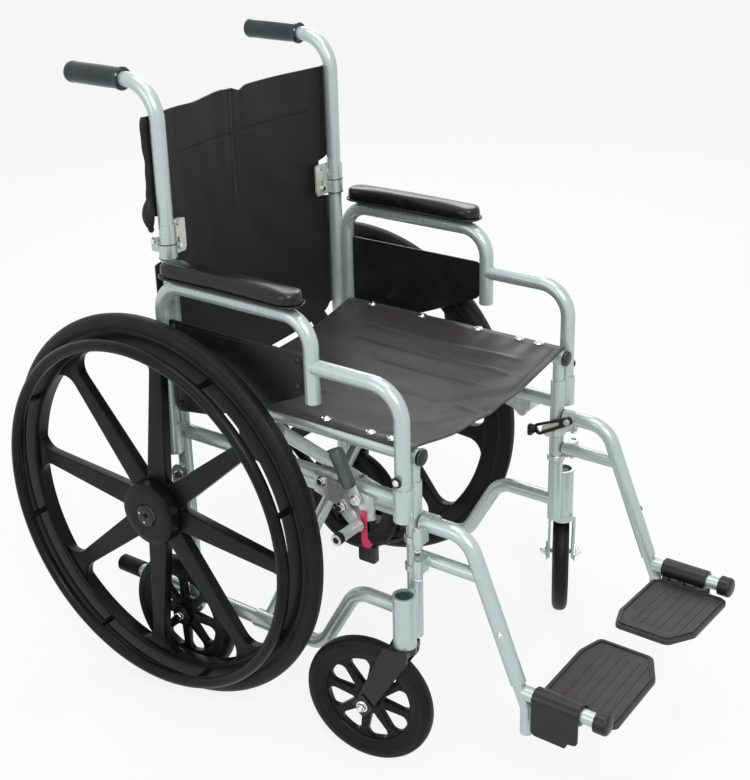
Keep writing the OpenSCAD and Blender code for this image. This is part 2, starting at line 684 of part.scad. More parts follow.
// Cross brace from the lower side tube on the right to the seat rail on the left
module brace(y) color([0.78, 0.83, 0.81]) difference() {
  union() {
    rod([frame_x, y, low_z], [-frame_x, y, brace_top_z], brace_d);
    long_rod(y + brace_sleeve_l / 2, y - brace_sleeve_l / 2, frame_x, low_z, brace_sleeve_d);
    long_rod(brace_eye_y + brace_eye_half, brace_eye_y - brace_eye_half, -frame_x, brace_top_z, brace_eye_d);
    rod([-frame_x - 30, y, brace_top_z - 24], [-frame_x - 8, brace_eye_y, brace_top_z - 4], 13);
  }
  long_rod(0, -300, frame_x, low_z, tube_d + 2 * run_gap);
  long_rod(0, -300, -frame_x, brace_top_z, pin_d + 2 * run_gap);
  for (y0 = [brace_eye_y + brace_eye_half, brace_eye_y - brace_eye_half - brace_cut])
    translate([-frame_x - 16, y0, brace_top_z - brace_cut / 2]) cube(brace_cut);
  long_rod(0, -300, 0, brace_mid_z, brace_bolt_d + 2 * run_gap);
}

// Centre bolt of the braces with its head, spacer and nut
module brace_bolt_body() color([0.7, 0.7, 0.7]) {
  r = brace_d / 2;
  long_rod(brace_a_y + r + 5, brace_b_y - r - 5, 0, brace_mid_z, brace_bolt_d);
  long_rod(brace_a_y + r + 5, brace_a_y + r + 0.05, 0, brace_mid_z, 17);
  long_rod(brace_a_y - r - 0.05, brace_b_y + r + part_gap, 0, brace_mid_z, 17);
  long_rod(brace_b_y - r - part_gap, brace_b_y - r - 5, 0, brace_mid_z, 17);
}

// Sagging strip across the chair: flat out to half width w, sagging along -y within the half width free
function sag_curve(w, free, sag, lift) = concat([[-w, lift]],
  [for (i = [-12:12]) [free * i / 12, lift - sag * (1 - pow(i / 12, 2))]], [[w, lift]]);
function backwards(list) = [for (i = [len(list) - 1:-1:0]) list[i]];
module sag_strip(w, free, sag, t) polygon(concat(sag_curve(w, free, sag, 0), backwards(sag_curve(w, free, sag, -t))));

module seat_upholstery_body() color([0.22, 0.21, 0.22])
  translate([0, -22, seat_top_z]) rotate([90, 0, 0]) linear_extrude(seat_depth)
    sag_strip(-frame_x + tube_r, -frame_x - tube_r, seat_sag, fabric_t);

module back_strip(z0, z1, w) translate([0, back_y, z0]) mirror([0, 1, 0])
  linear_extrude(z1 - z0) sag_strip(w, w - tube_d, back_sag, fabric_t);

// Block between the hinge brackets, which the upholstery passes between at the hinge line
module back_middle() translate([frame_x + hinge_notch, -hinge_notch, 0])
  cube([frame_w - 2 * hinge_notch, back_y + back_sag + 2 * hinge_notch, handle_z]);

module back_lower_body() color([0.09, 0.08, 0.09]) {
  back_strip(back_low_z, sleeve_low_z - 8, -frame_x + tube_r);
  intersection() {
    back_strip(sleeve_low_z - 8.01, hinge_z - 0.2, -frame_x + tube_r);
    back_middle();
  }
}

module back_upper_body() color([0.09, 0.08, 0.09]) {
  back_strip(hinge_z + 32, back_top_z, -frame_x + tube_r);
  intersection() {
    back_strip(hinge_z + 0.2, hinge_z + 32.01, -frame_x + tube_r);
    back_middle();
  }
}

// Box of the lap belt with the thin cord that ties it to the front post
module belt_box() color([0.05, 0.05, 0.05]) {
  translate([belt_x - 6, belt_y - 14, belt_top_z - 27]) cube([12, 28, 27]);
  rod([belt_x, belt_y - 6, belt_top_z - 1], [frame_x, front_y + tube_r + 4 * part_gap, belt_top_z + 25], 4);
}

// Flat hook that hangs the box on the lock's plate
module belt_hook() color([0.9, 0.2, 0.3]) side_plate(lock_x - 2.5 - run_gap, 2.5)
  polygon([[belt_y + 4, lever_z - 16], [belt_y - 4, lever_z - 16], [belt_y - 5, belt_top_z + 14],
    [belt_y - 13, belt_top_z + 6], [belt_y - 9, belt_top_z + run_gap], [belt_y + 2, belt_top_z + run_gap],
    [belt_y + 4, belt_top_z + 10]]);

module frame_parts() {
  side_frame();
  release_pin();
  transport_mount();
}
module side_frame_right() right() frame_parts();
module side_frame_left() left() frame_parts();
module axle_bracket_right() right() axle_bracket();
module axle_bracket_left() left() axle_bracket();
module tipping_tip_right() right() tipping_tip();
module tipping_tip_left() left() tipping_tip();
module castor_fork_right() right() castor_place(swivel_right) castor_fork();
module castor_fork_left() left() castor_place(swivel_left) castor_fork();
module castor_wheel_at() translate([0, trail, castor_r]) rotate([0, 90, 0]) small_wheel();
module castor_wheel_right() right() castor_place(swivel_right) castor_wheel_at();
module castor_wheel_left() left() castor_place(swivel_left) castor_wheel_at();
module drive_wheel_right() right() drive_wheel();
module drive_wheel_left() left() drive_wheel();
module drive_tyre_right() right() drive_tyre();
module drive_tyre_left() left() drive_tyre();
module hand_rim_right() right() hand_rim();
module hand_rim_left() left() hand_rim();
module quick_axle_right() right() quick_axle();
module quick_axle_left() left() quick_axle();
module axle_button_right() right() axle_button();
module axle_button_left() left() axle_button();
module transport_wheel_right() right() transport_wheel();
module transport_wheel_left() left() transport_wheel();
module back_cane_right() right() back_cane();
module back_cane_left() left() back_cane();
module hand_grip_right() right() hand_grip();
module hand_grip_left() left() hand_grip();
module back_release_right() right() back_release();
module back_release_left() left() back_release();
module arm_frame_right() right() arm_frame();
module arm_frame_left() left() arm_frame();
module arm_pad_right() right() arm_pad();
module arm_pad_left() left() arm_pad();
module arm_panel_right() right() arm_panel();
module arm_panel_left() left() arm_panel();
module arm_button_right() right() arm_button();
module arm_button_left() left() arm_button();
module seat_rail_right() right() seat_rail();
module seat_rail_left() left() seat_rail();
module hanger_right() right() hanger();
module hanger_left() left() hanger();
module hanger_latch_right() right() hanger_latch();
module hanger_latch_left() left() hanger_latch();
module footrest_tube_right() right() footrest_tube();
module footrest_tube_left() left() footrest_tube();
module footplate_right() right() footplate();
module footplate_left() left() footplate();
module lock_bracket_right() right() lock_bracket();
module lock_bracket_left() left() lock_bracket();
module lock_lever_right() right() lock_lever();
module lock_lever_left() left() lock_lever();
module brake_shoe_right() right() brake_shoe();
module brake_shoe_left() left() brake_shoe();
module cross_brace_a() right() brace(brace_a_y);
module cross_brace_b() left() brace(brace_b_y);
module brace_bolt() right() brace_bolt_body();
module seat_upholstery() right() seat_upholstery_body();
module back_upholstery_lower() right() back_lower_body();
module back_upholstery_upper() right() back_upper_body();
module belt_buckle() right() belt_box();
module belt_strap() right() belt_hook();

side_frame_right();
side_frame_left();
axle_bracket_right();
axle_bracket_left();
tipping_tip_right();
tipping_tip_left();
castor_fork_right();
castor_fork_left();
castor_wheel_right();
castor_wheel_left();
drive_wheel_right();
drive_wheel_left();
drive_tyre_right();
drive_tyre_left();
hand_rim_right();
hand_rim_left();
quick_axle_right();
quick_axle_left();
axle_button_right();
axle_button_left();
transport_wheel_right();
transport_wheel_left();
back_cane_right();
back_cane_left();
hand_grip_right();
hand_grip_left();
back_release_right();
back_release_left();
arm_frame_right();
arm_frame_left();
arm_pad_right();
arm_pad_left();
arm_panel_right();
arm_panel_left();
arm_button_right();
arm_button_left();
seat_rail_right();
seat_rail_left();
hanger_right();
hanger_left();
hanger_latch_right();
hanger_latch_left();
footrest_tube_right();
footrest_tube_left();
footplate_right();
footplate_left();
lock_bracket_right();
lock_bracket_left();
lock_lever_right();
lock_lever_left();
brake_shoe_right();
brake_shoe_left();
cross_brace_a();
cross_brace_b();
brace_bolt();
seat_upholstery();
back_upholstery_lower();
back_upholstery_upper();
belt_buckle();
belt_strap();
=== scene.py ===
import json
import math

import bmesh
import bpy
import numpy as np
from mathutils import Matrix, Vector
from mathutils.geometry import tessellate_polygon


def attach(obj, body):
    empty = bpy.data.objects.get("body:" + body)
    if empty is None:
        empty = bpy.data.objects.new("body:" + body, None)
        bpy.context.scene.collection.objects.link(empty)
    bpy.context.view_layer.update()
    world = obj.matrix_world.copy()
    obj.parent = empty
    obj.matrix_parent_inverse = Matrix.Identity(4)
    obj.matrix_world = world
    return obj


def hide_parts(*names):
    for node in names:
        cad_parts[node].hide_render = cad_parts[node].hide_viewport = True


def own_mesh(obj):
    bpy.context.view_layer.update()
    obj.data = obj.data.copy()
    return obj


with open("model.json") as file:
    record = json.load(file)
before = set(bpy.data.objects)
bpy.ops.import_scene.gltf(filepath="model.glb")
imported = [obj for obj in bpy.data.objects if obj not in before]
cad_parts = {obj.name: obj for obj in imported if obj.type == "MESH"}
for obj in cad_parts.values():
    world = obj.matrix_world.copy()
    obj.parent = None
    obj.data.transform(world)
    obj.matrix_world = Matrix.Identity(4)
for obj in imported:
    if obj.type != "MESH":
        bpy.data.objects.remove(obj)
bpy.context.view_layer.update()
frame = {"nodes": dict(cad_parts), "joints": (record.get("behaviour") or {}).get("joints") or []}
nodes = frame["nodes"]
joints = {j["name"]: j for j in frame["joints"]}

# Places of the frame in mm, with y from the rear axle and the right side at -X
MM = 0.001
REAR_AXLE_Y = 207.5
SIDES = {"right": 1, "left": -1}
FRAME_X = -195.0  # middle of the side frame's tubes
FRONT_Y = -419.0  # front post
RAIL_Z = 484.0  # seat rail
MID_Z = 410.0  # seat-level side tube
HINGE_Z = 706.0  # where the back folds
HANDLE_Z = 931.0  # push handle
HANGER_Z, HANGER_LOW_Z = 388.0, 334.0  # the hanger's tube ends on the front post
DRIVE_X, DRIVE_Z = -257.0, 305.0  # big wheel
WHEEL_TURN = 39.5  # degrees that the big wheel's spokes are turned
ARM_X = -220.0  # arm frame
PAD_Z = 663.4  # underside of the arm pad
LOCK_X = -212.0  # wheel-lock bracket
FOOT_Z, FOOT_BACK_Y = 180.0, -610.0  # footplate barrel and its rear end
FOOT_W, FOOT_L = 174.0, 118.0  # footplate
BELT_X = -204.0  # lap-belt hardware


def point(x, y, z):
    """A place given in mm, with y measured from the rear axle."""
    return Vector((x, y + REAR_AXLE_Y, z)) * MM


def linked(name, data):
    """A new object in the scene."""
    obj = bpy.data.objects.new(name, data)
    bpy.context.scene.collection.objects.link(obj)
    return obj


# Camera, as fitted to the photo's frame in pixels
IMAGE_W, IMAGE_H = 750, 780
FOCAL_PX = 1405.77
CENTRE_PX = (349.21, 352.87)
EYE = (-1549.12, -1359.0, 1326.88)  # mm
AZIMUTH, ELEVATION, ROLL = -52.46, 22.87, -1.89  # degrees


def make_camera():
    azimuth, elevation, roll = math.radians(AZIMUTH), math.radians(ELEVATION), math.radians(ROLL)
    flat = math.cos(elevation)
    back = Vector((math.sin(azimuth) * flat, -math.cos(azimuth) * flat, math.sin(elevation)))
    right = Vector((0, 0, 1)).cross(back).normalized()
    up = back.cross(right)
    across = math.cos(roll) * right + math.sin(roll) * up
    upward = -math.sin(roll) * right + math.cos(roll) * up
    data = bpy.data.cameras.new("camera")
    data.sensor_fit = "HORIZONTAL"
    data.sensor_width = 36
    data.lens = FOCAL_PX * data.sensor_width / IMAGE_W
    data.shift_x = (IMAGE_W / 2 - CENTRE_PX[0]) / IMAGE_W
    data.shift_y = (CENTRE_PX[1] - IMAGE_H / 2) / IMAGE_W
    data.clip_end = 200
    obj = linked("camera", data)
    turn = Matrix((across, upward, back)).transposed()
    obj.matrix_world = Matrix.Translation(point(*EYE)) @ turn.to_4x4()
    bpy.context.scene.camera = obj


make_camera()


# Materials
def new_material(name, color, roughness, metallic=0.0, specular=0.5):
    mat = bpy.data.materials.new(name)
    mat.use_nodes = True
    bsdf = mat.node_tree.nodes["Principled BSDF"]
    bsdf.inputs["Base Color"].default_value = (*color, 1)
    bsdf.inputs["Roughness"].default_value = roughness
    bsdf.inputs["Metallic"].default_value = metallic
    bsdf.inputs["Specular IOR Level"].default_value = specular
    return mat, mat.node_tree, bsdf


def add_node(tree, kind, **values):
    node = tree.nodes.new(kind)
    for key, value in values.items():
        if key in node.inputs:
            node.inputs[key].default_value = value
        else:
            setattr(node, key, value)
    return node


def noise(tree, scale, detail=4.0):
    coord = add_node(tree, "ShaderNodeTexCoord")
    texture = add_node(tree, "ShaderNodeTexNoise", Scale=scale, Detail=detail, Roughness=0.55)
    tree.links.new(coord.outputs["Object"], texture.inputs["Vector"])
    return texture.outputs["Fac"]


def ramp(tree, source, stops):
    node = tree.nodes.new("ShaderNodeValToRGB")
    while len(node.color_ramp.elements) < len(stops):
        node.color_ramp.elements.new(0.5)
    for element, (place, color) in zip(node.color_ramp.elements, stops):
        element.position = place
        element.color = (*color, 1)
    tree.links.new(source, node.inputs["Fac"])
    return node.outputs["Color"]


def spread(tree, source, low, high):
    node = tree.nodes.new("ShaderNodeMapRange")
    node.inputs["To Min"].default_value = low
    node.inputs["To Max"].default_value = high
    tree.links.new(source, node.inputs["Value"])
    return node.outputs["Result"]


def bump(tree, bsdf, source, strength, distance):
    node = add_node(tree, "ShaderNodeBump", Strength=strength, Distance=distance)
    tree.links.new(source, node.inputs["Height"])
    previous = bsdf.inputs["Normal"].links
    if previous:
        tree.links.new(previous[0].from_socket, node.inputs["Normal"])
    tree.links.new(node.outputs["Normal"], bsdf.inputs["Normal"])


def speckled(name, dark, light, roughness, metallic, scale, grain, depth, specular=0.5):
    """Colour and gloss that vary a little over the surface, with a fine grain."""
    mat, tree, bsdf = new_material(name, light, roughness, metallic, specular)
    cloud = ramp(tree, noise(tree, scale), [(0.35, dark), (0.65, light)])
    tree.links.new(cloud, bsdf.inputs["Base Color"])
    gloss = spread(tree, noise(tree, scale * 0.4, 2), roughness * 0.85, roughness * 1.2)
    tree.links.new(gloss, bsdf.inputs["Roughness"])
    bump(tree, bsdf, noise(tree, grain, 2), 0.4, depth)
    return mat


def vinyl(name, dark, light, roughness, specular):
    """Grained artificial leather: small cells over a soft unevenness."""
    mat, tree, bsdf = new_material(name, light, roughness, 0.0, specular)
    cloud = ramp(tree, noise(tree, 14, 3), [(0.3, dark), (0.7, light)])
    tree.links.new(cloud, bsdf.inputs["Base Color"])
    cells = add_node(tree, "ShaderNodeTexVoronoi", Scale=900.0)
    coord = add_node(tree, "ShaderNodeTexCoord")
    tree.links.new(coord.outputs["Object"], cells.inputs["Vector"])
    bump(tree, bsdf, cells.outputs["Distance"], 0.3, 0.0001)
    bump(tree, bsdf, noise(tree, 60, 3), 0.3, 0.0005)
    return mat


def weave(name, dark, light, roughness, threads_per_m, sheen):
    """Woven cloth: crossed sets of threads, with a soft variation in colour."""
    mat, tree, bsdf = new_material(name, light, roughness, 0.0, 0.3)
    coord = add_node(tree, "ShaderNodeTexCoord")
    sets = []
    for axis in ("X", "Y", "Z"):
        wave = add_node(tree, "ShaderNodeTexWave", Scale=threads_per_m / 6.0, Distortion=0.6, Detail=1.0)
        wave.bands_direction = axis
        tree.links.new(coord.outputs["Object"], wave.inputs["Vector"])
        sets.append(wave.outputs["Fac"])
    flat = add_node(tree, "ShaderNodeMath", operation="MAXIMUM")
    tree.links.new(sets[0], flat.inputs[0])
    tree.links.new(sets[1], flat.inputs[1])
    threads = add_node(tree, "ShaderNodeMath", operation="ADD")
    tree.links.new(flat.outputs[0], threads.inputs[0])
    tree.links.new(sets[2], threads.inputs[1])
    mix = add_node(tree, "ShaderNodeMath", operation="MULTIPLY_ADD")
    mix.inputs[1].default_value = 0.14
    tree.links.new(threads.outputs[0], mix.inputs[0])
    tree.links.new(noise(tree, 22, 4), mix.inputs[2])
    cloud = ramp(tree, mix.outputs[0], [(0.35, dark), (0.9, light)])
    tree.links.new(cloud, bsdf.inputs["Base Color"])
    bsdf.inputs["Sheen Weight"].default_value = sheen
    bsdf.inputs["Sheen Roughness"].default_value = 0.5
    bump(tree, bsdf, threads.outputs[0], 0.25, 0.0001)
    bump(tree, bsdf, noise(tree, 45, 3), 0.3, 0.0006)
    return mat


# Painted, plated and moulded finishes: dark and light colour, roughness, metallic, cloud and grain
# scale, grain depth in m and, where it isn't the usual one, specular
FINISHES = {
    "tube_paint": ((0.485, 0.575, 0.55), (0.50, 0.59, 0.565), 0.27, 0.45, 60, 900, 0.00001),
    "dark_paint": ((0.005, 0.005, 0.005), (0.009, 0.009, 0.009), 0.30, 0.0, 200, 900, 0.00002, 0.4),
    "bare_metal": ((0.50, 0.52, 0.52), (0.62, 0.64, 0.64), 0.26, 0.75, 60, 700, 0.00002),
    "chrome": ((0.72, 0.74, 0.75), (0.84, 0.85, 0.86), 0.12, 1.0, 40, 500, 0.00001),
    "zinc": ((0.48, 0.50, 0.50), (0.66, 0.68, 0.67), 0.32, 0.7, 90, 600, 0.00002),
    "pale_zinc": ((0.66, 0.66, 0.58), (0.80, 0.80, 0.72), 0.34, 0.4, 90, 600, 0.00002),
    "black_composite": ((0.0035, 0.0035, 0.0037), (0.007, 0.007, 0.0073), 0.33, 0.0,
        30, 1500, 0.00003, 0.16),
    "black_tyre": ((0.006, 0.006, 0.006), (0.011, 0.011, 0.011), 0.48, 0.0, 25, 1100, 0.00006, 0.16),
    "black_plastic": ((0.006, 0.006, 0.0065), (0.011, 0.011, 0.012), 0.34, 0.0, 40, 1800, 0.00004, 0.4),
    "grip": ((0.003, 0.014, 0.014), (0.006, 0.026, 0.025), 0.16, 0.0, 35, 700, 0.00002),
    "green_plug": ((0.010, 0.035, 0.030), (0.018, 0.055, 0.048), 0.4, 0.0, 60, 900, 0.00003),
    "footplate_plastic": ((0.026, 0.022, 0.023), (0.040, 0.034, 0.035), 0.44, 0.0, 50, 1800, 0.00005, 0.4),
    "lock_grip": ((0.035, 0.05, 0.046), (0.06, 0.08, 0.073), 0.42, 0.0, 60, 1200, 0.00004),
    "white_button": ((0.72, 0.72, 0.68), (0.84, 0.84, 0.80), 0.25, 0.0, 60, 800, 0.00002),
    "pink_hook": ((0.50, 0.012, 0.06), (0.66, 0.03, 0.11), 0.35, 0.0, 60, 800, 0.00002),
}
MATERIALS = {name: speckled(name, *values) for name, values in FINISHES.items()}
MATERIALS["pad_vinyl"] = vinyl("pad_vinyl", (0.005, 0.005, 0.005), (0.009, 0.009, 0.009), 0.26, 0.36)
SEAT_COLOURS = (0.020, 0.0165, 0.018), (0.040, 0.034, 0.037)
BACK_COLOURS = (0.0045, 0.004, 0.0045), (0.009, 0.0078, 0.0085)
THREADS_PER_M = 900
MATERIALS["seat_vinyl"] = weave("seat_vinyl", *SEAT_COLOURS, 0.42, THREADS_PER_M, 0.15)
MATERIALS["back_vinyl"] = weave("back_vinyl", *BACK_COLOURS, 0.6, THREADS_PER_M, 0.08)

# The CAD nodes of each material, without their side
NODES_OF = {
    "tube_paint": ("side_frame", "castor_fork", "back_cane", "arm_frame", "seat_rail", "hanger",
        "footrest_tube", "cross_brace_a", "cross_brace_b"),
    "black_composite": ("castor_wheel", "drive_wheel", "hand_rim", "transport_wheel"),
    "black_tyre": ("tipping_tip", "drive_tyre"),
    "black_plastic": ("axle_button", "arm_panel", "hanger_latch", "belt_buckle"),
    "zinc": ("quick_axle", "lock_bracket", "lock_lever", "brake_shoe", "brace_bolt"),
    "pale_zinc": ("back_release",), "bare_metal": ("axle_bracket",), "grip": ("hand_grip",),
    "pad_vinyl": ("arm_pad",), "white_button": ("arm_button",), "pink_hook": ("belt_strap",),
    "footplate_plastic": ("footplate",), "seat_vinyl": ("seat_upholstery",),
    "back_vinyl": ("back_upholstery_lower", "back_upholstery_upper"),
}
NODE_MATERIAL = {base: kind for kind, bases in NODES_OF.items() for base in bases}


def finish_nodes():
    for name, obj in nodes.items():
        base = name.removesuffix("_right").removesuffix("_left")
        kind = "dark_paint" if name == "castor_fork_right" else NODE_MATERIAL[base]
        for place in obj.material_slots:
            place.material = MATERIALS[kind]


finish_nodes()


# Frames that turn a flat drawing into the chair: the third axis is the thickness
def side_at(x):
    """A drawing of (y, z), thick along X."""
    return Matrix(((0, 0, 1, x), (1, 0, 0, 0), (0, 1, 0, 0), (0, 0, 0, 1)))


def front_at(y):
    """A drawing of (x, z), thick along Y."""
    return Matrix(((1, 0, 0, 0), (0, 0, -1, y), (0, 1, 0, 0), (0, 0, 0, 1)))


def along(start, end):
    """Local Z from start towards end."""
    a, b = Vector(start), Vector(end)
    turn = Vector((0, 0, 1)).rotation_difference(b - a)
    return Matrix.Translation(a) @ turn.to_matrix().to_4x4()


def wheel_frame(joint, side):
    """Origin and axis of a wheel from its joint, in mm, with local Z outward on the right side."""
    j = joints[f"{joint}_{side}"]
    x, y, z = (v / MM for v in j["pos_m"])
    axis = Vector(j["axis"]) * SIDES[side]
    origin = Vector((x * SIDES[side], y - REAR_AXLE_Y, z))
    if side == "left":
        axis = Vector((-axis.x, axis.y, axis.z))
    if axis.x > 0:
        axis = -axis
    return origin, axis.normalized()


def lift(z):
    return Matrix.Translation((0, 0, z))


# Solids as (vertices, faces) in mm
def inset(loop, amount):
    """The loop moved to its left by an amount, with its corners mitred."""
    out = []
    for i, b in enumerate(loop):
        a, c = loop[i - 1], loop[(i + 1) % len(loop)]
        before, after = (b - a).normalized(), (c - b).normalized()
        middle = Vector((-before.y - after.y, before.x + after.x)).normalized()
        share = max(0.35, middle.dot(Vector((-before.y, before.x))))
        out.append(b + middle * (amount / share))
    return out


def area(loop):
    return sum(a.x * b.y - b.x * a.y for a, b in zip(loop, loop[1:] + loop[:1])) / 2


def inward(loop, amount):
    """The loop made smaller all round by an amount, whichever way it runs."""
    return inset(loop, amount if area(loop) > 0 else -amount)


def plate(outline, thickness, edge=0.8, holes=()):
    """Plate on XY about Z = 0 with rounded edges, from an outline and its holes."""
    loops = [[Vector(p) for p in loop] for loop in (outline, *holes)]
    for i, loop in enumerate(loops):
        if (area(loop) > 0) == (i > 0):
            loop.reverse()
    half = thickness / 2
    levels = [(-half, edge), (0.3 * edge - half, 0.3 * edge), (edge - half, 0)]
    levels += [(-z, amount) for z, amount in reversed(levels)]
    verts, faces, low, high = [], [], [], []
    for loop in loops:
        n = len(loop)
        for k, (z, amount) in enumerate(levels):
            start = len(verts)
            verts += [(p.x, p.y, z) for p in inset(loop, amount)]
            if k == 0:
                low.append(start)
            else:
                for i in range(n):
                    j = (i + 1) % n
                    faces.append((start - n + i, start - n + j, start + j, start + i))
        high.append(start)
    flat = [inset(loop, edge) for loop in loops]
    lookup = [(k, i) for k, loop in enumerate(flat) for i in range(len(loop))]
    for tri in tessellate_polygon([[(p.x, p.y, 0) for p in loop] for loop in flat]):
        corners = [lookup[t] for t in tri]
        faces.append(tuple(high[k] + i for k, i in corners))
        faces.append(tuple(low[k] + i for k, i in reversed(corners)))
    return verts, faces


def rounded(points, radius, steps=5):
    """Outline with each corner turned into an arc; radius is one number or one for each corner."""
    pts = [Vector(p) for p in points]
    radii = [radius] * len(pts) if isinstance(radius, (int, float)) else radius
    out = []
    for i, b in enumerate(pts):
        a, c = pts[i - 1], pts[(i + 1) % len(pts)]
        before, after = (a - b).normalized(), (c - b).normalized()
        half = before.angle(after) / 2
        reach = min(radii[i] / math.tan(half), 0.49 * (a - b).length, 0.49 * (c - b).length)
        r = reach * math.tan(half)
        centre = b + (before + after).normalized() * (r / math.sin(half))
        first, last = b + before * reach - centre, b + after * reach - centre
        swing = first.angle_signed(last, 0)
        for k in range(steps + 1):
            t = -swing * k / steps
            out.append(centre + Matrix.Rotation(t, 2) @ first)
    return out


def disc(r, centre=(0, 0), steps=24):
    angles = [2 * math.pi * i / steps for i in range(steps)]
    return [(centre[0] + r * math.cos(a), centre[1] + r * math.sin(a)) for a in angles]


def turned(profile, steps=48, closed=False):
    """Profile of (radius, height) turned round Z: capped at both ends, or a closed ring."""
    rows, verts, faces = len(profile), [], []
    for r, h in profile:
        for i in range(steps):
            a = 2 * math.pi * i / steps
            verts.append((r * math.cos(a), r * math.sin(a), h))
    for j in range(rows if closed else rows - 1):
        k = (j + 1) % rows
        for i in range(steps):
            n = (i + 1) % steps
            faces.append((j * steps + i, j * steps + n, k * steps + n, k * steps + i))
    if not closed:
        faces.append(tuple(reversed(range(steps))))
        faces.append(tuple(range((rows - 1) * steps, rows * steps)))
    return verts, faces


def swept(path, radius, steps=16):
    """Round tube along points, with rounded ends; radius is a number or a function of the way."""
    pts = [Vector(p) for p in path]
    size = radius if callable(radius) else lambda t: radius
    last = len(pts) - 1
    heading = [(pts[min(i + 1, last)] - pts[max(i - 1, 0)]).normalized() for i in range(len(pts))]
    across = heading[0].orthogonal().normalized()
    rings = []
    for i, (p, d) in enumerate(zip(pts, heading)):
        across = (across - d * across.dot(d)).normalized()
        rings.append((p, across.copy(), d.cross(across), size(i / last)))
    r0, r1 = rings[0][3], rings[-1][3]
    stack = [(rings[0], -heading[0] * r0 * s, c) for s, c in ((0.95, 0.3), (0.6, 0.8))]
    stack += [(ring, Vector(), 1.0) for ring in rings]
    stack += [(rings[-1], heading[-1] * r1 * s, c) for s, c in ((0.6, 0.8), (0.95, 0.3))]
    verts, faces = [], []
    for (p, a, b, r), shift, scale in stack:
        for i in range(steps):
            t = 2 * math.pi * i / steps
            verts.append(p + shift + (a * math.cos(t) + b * math.sin(t)) * r * scale)
    for j in range(len(stack) - 1):
        for i in range(steps):
            n = (i + 1) % steps
            faces.append((j * steps + i, j * steps + n, (j + 1) * steps + n, (j + 1) * steps + i))
    faces.append(tuple(reversed(range(steps))))
    faces.append(tuple(range((len(stack) - 1) * steps, len(stack) * steps)))
    return verts, faces


class Form:
    """Closed solids gathered into one mesh, in mm, in the right side's place."""

    def __init__(self):
        self.verts, self.faces = [], []

    def add(self, solid, move=None):
        verts, faces = solid
        start = len(self.verts)
        self.verts += [move @ Vector(v) if move else Vector(v) for v in verts]
        self.faces += [tuple(start + i for i in f) for f in faces]
        return self

    def rod(self, start, end, r, edge=0.5, steps=28):
        length = (Vector(end) - Vector(start)).length
        profile = [(r - edge, 0), (r, edge), (r, length - edge), (r - edge, length)]
        return self.add(turned(profile, steps), along(start, end))

    def bolt(self, place, axis, r=6.0, head=4.5, washer=0.0):
        """Hexagon head with a chamfer, on a washer if one is asked for."""
        place, axis = Vector(place), Vector(axis).normalized()
        if washer:
            ring = [(washer - 0.3, 0), (washer, 0.4), (washer, 1.1), (washer - 0.4, 1.4)]
            self.add(turned(ring, 28), along(place, place + axis))
            place = place + axis * 1.3
        profile = [(r, 0), (r, head - 0.9), (r * 0.86, head)]
        return self.add(turned(profile, 6), along(place, place + axis))

    def screw(self, place, axis, r=4.6, washer=7.6):
        """Domed screw with a small recess, on a cupped washer."""
        place, axis = Vector(place), Vector(axis).normalized()
        profile = [(washer, 0), (washer, 0.5), (washer - 1.4, 1.5), (r + 0.5, 1.2), (r, 1.6)]
        profile += [(r * 0.86, 2.8), (r * 0.5, 3.5), (1.5, 3.7), (1.3, 2.9)]
        return self.add(turned(profile, 24), along(place, place + axis))


def solid(name, form, material, body, side="right", replaces=None, slot=None):
    """The form as a piece on one side of the chair, riding a body."""
    sign = SIDES[side]
    mesh = bpy.data.meshes.new(name)
    mesh.from_pydata([point(sign * v.x, v.y, v.z) for v in form.verts], [], form.faces)
    work = bmesh.new()
    work.from_mesh(mesh)
    bmesh.ops.recalc_face_normals(work, faces=work.faces)
    work.to_mesh(mesh)
    work.free()
    for polygon in mesh.polygons:
        polygon.use_smooth = True
    mesh.set_sharp_from_angle(angle=math.radians(38))
    obj = linked(name, mesh)
    shading = obj.modifiers.new("normals", "WEIGHTED_NORMAL")
    shading.keep_sharp = True
    return dressed(obj, material, body, replaces)


def dressed(obj, material, body, replaces=None):
    obj.data.materials.clear()
    obj.data.materials.append(MATERIALS[material])
    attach(obj, body)
    if replaces:
        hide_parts(replaces)
    return obj


def pair(name, form, material, body, replaces=None, slot=None):
    """The form on both sides, mirrored."""
    for side in SIDES:
        node = f"{replaces}_{side}" if replaces else None
        solid(f"{name}_{side}", form, material, f"{body}_{side}", side, node, slot)


# Lap-belt hardware under the right rail: the cord and its box
def belt():
    start, end = point(BELT_X, -354, 330), point(-195.6, -404.5, 355)
    count, diameter = 17, 0.004
    sag = Vector((0, 0, 0.0012))
    curve = bpy.data.curves.new("belt_cord", "CURVE")
    curve.dimensions = "3D"
    curve.bevel_depth = diameter / 2
    curve.bevel_resolution = 4
    curve.use_fill_caps = True
    spline = curve.splines.new("POLY")
    spline.points.add(count - 1)
    length, last = 0.0, None
    for i, p in enumerate(spline.points):
        t = i / (count - 1)
        place = start.lerp(end, t) - sag * math.sin(math.pi * t)
        length += (place - last).length if last else 0.0
        last = place
        p.co = (*place, 1)
    cord = linked("belt_cord", curve)
    dressed(cord, "black_plastic", "frame_right")
    back_y, front_y, low_z, top_z = -334.2, -361.8, 304.2, 330.8
    corners = [(front_y, low_z), (back_y, low_z), (back_y, 325), (-340, top_z), (front_y, top_z)]
    box = Form().add(plate(rounded(corners, 3), 11.6, 1.6), side_at(BELT_X))
    box.add(plate(disc(4.6, (-348, 317)), 1.2, 0.4), side_at(BELT_X - 6.2))
    box.rod((BELT_X, -354, 326), (BELT_X, -354.6, 331.2), 3.2)
    solid("belt_box", box, "black_plastic", "frame_right", replaces="belt_buckle")


belt()


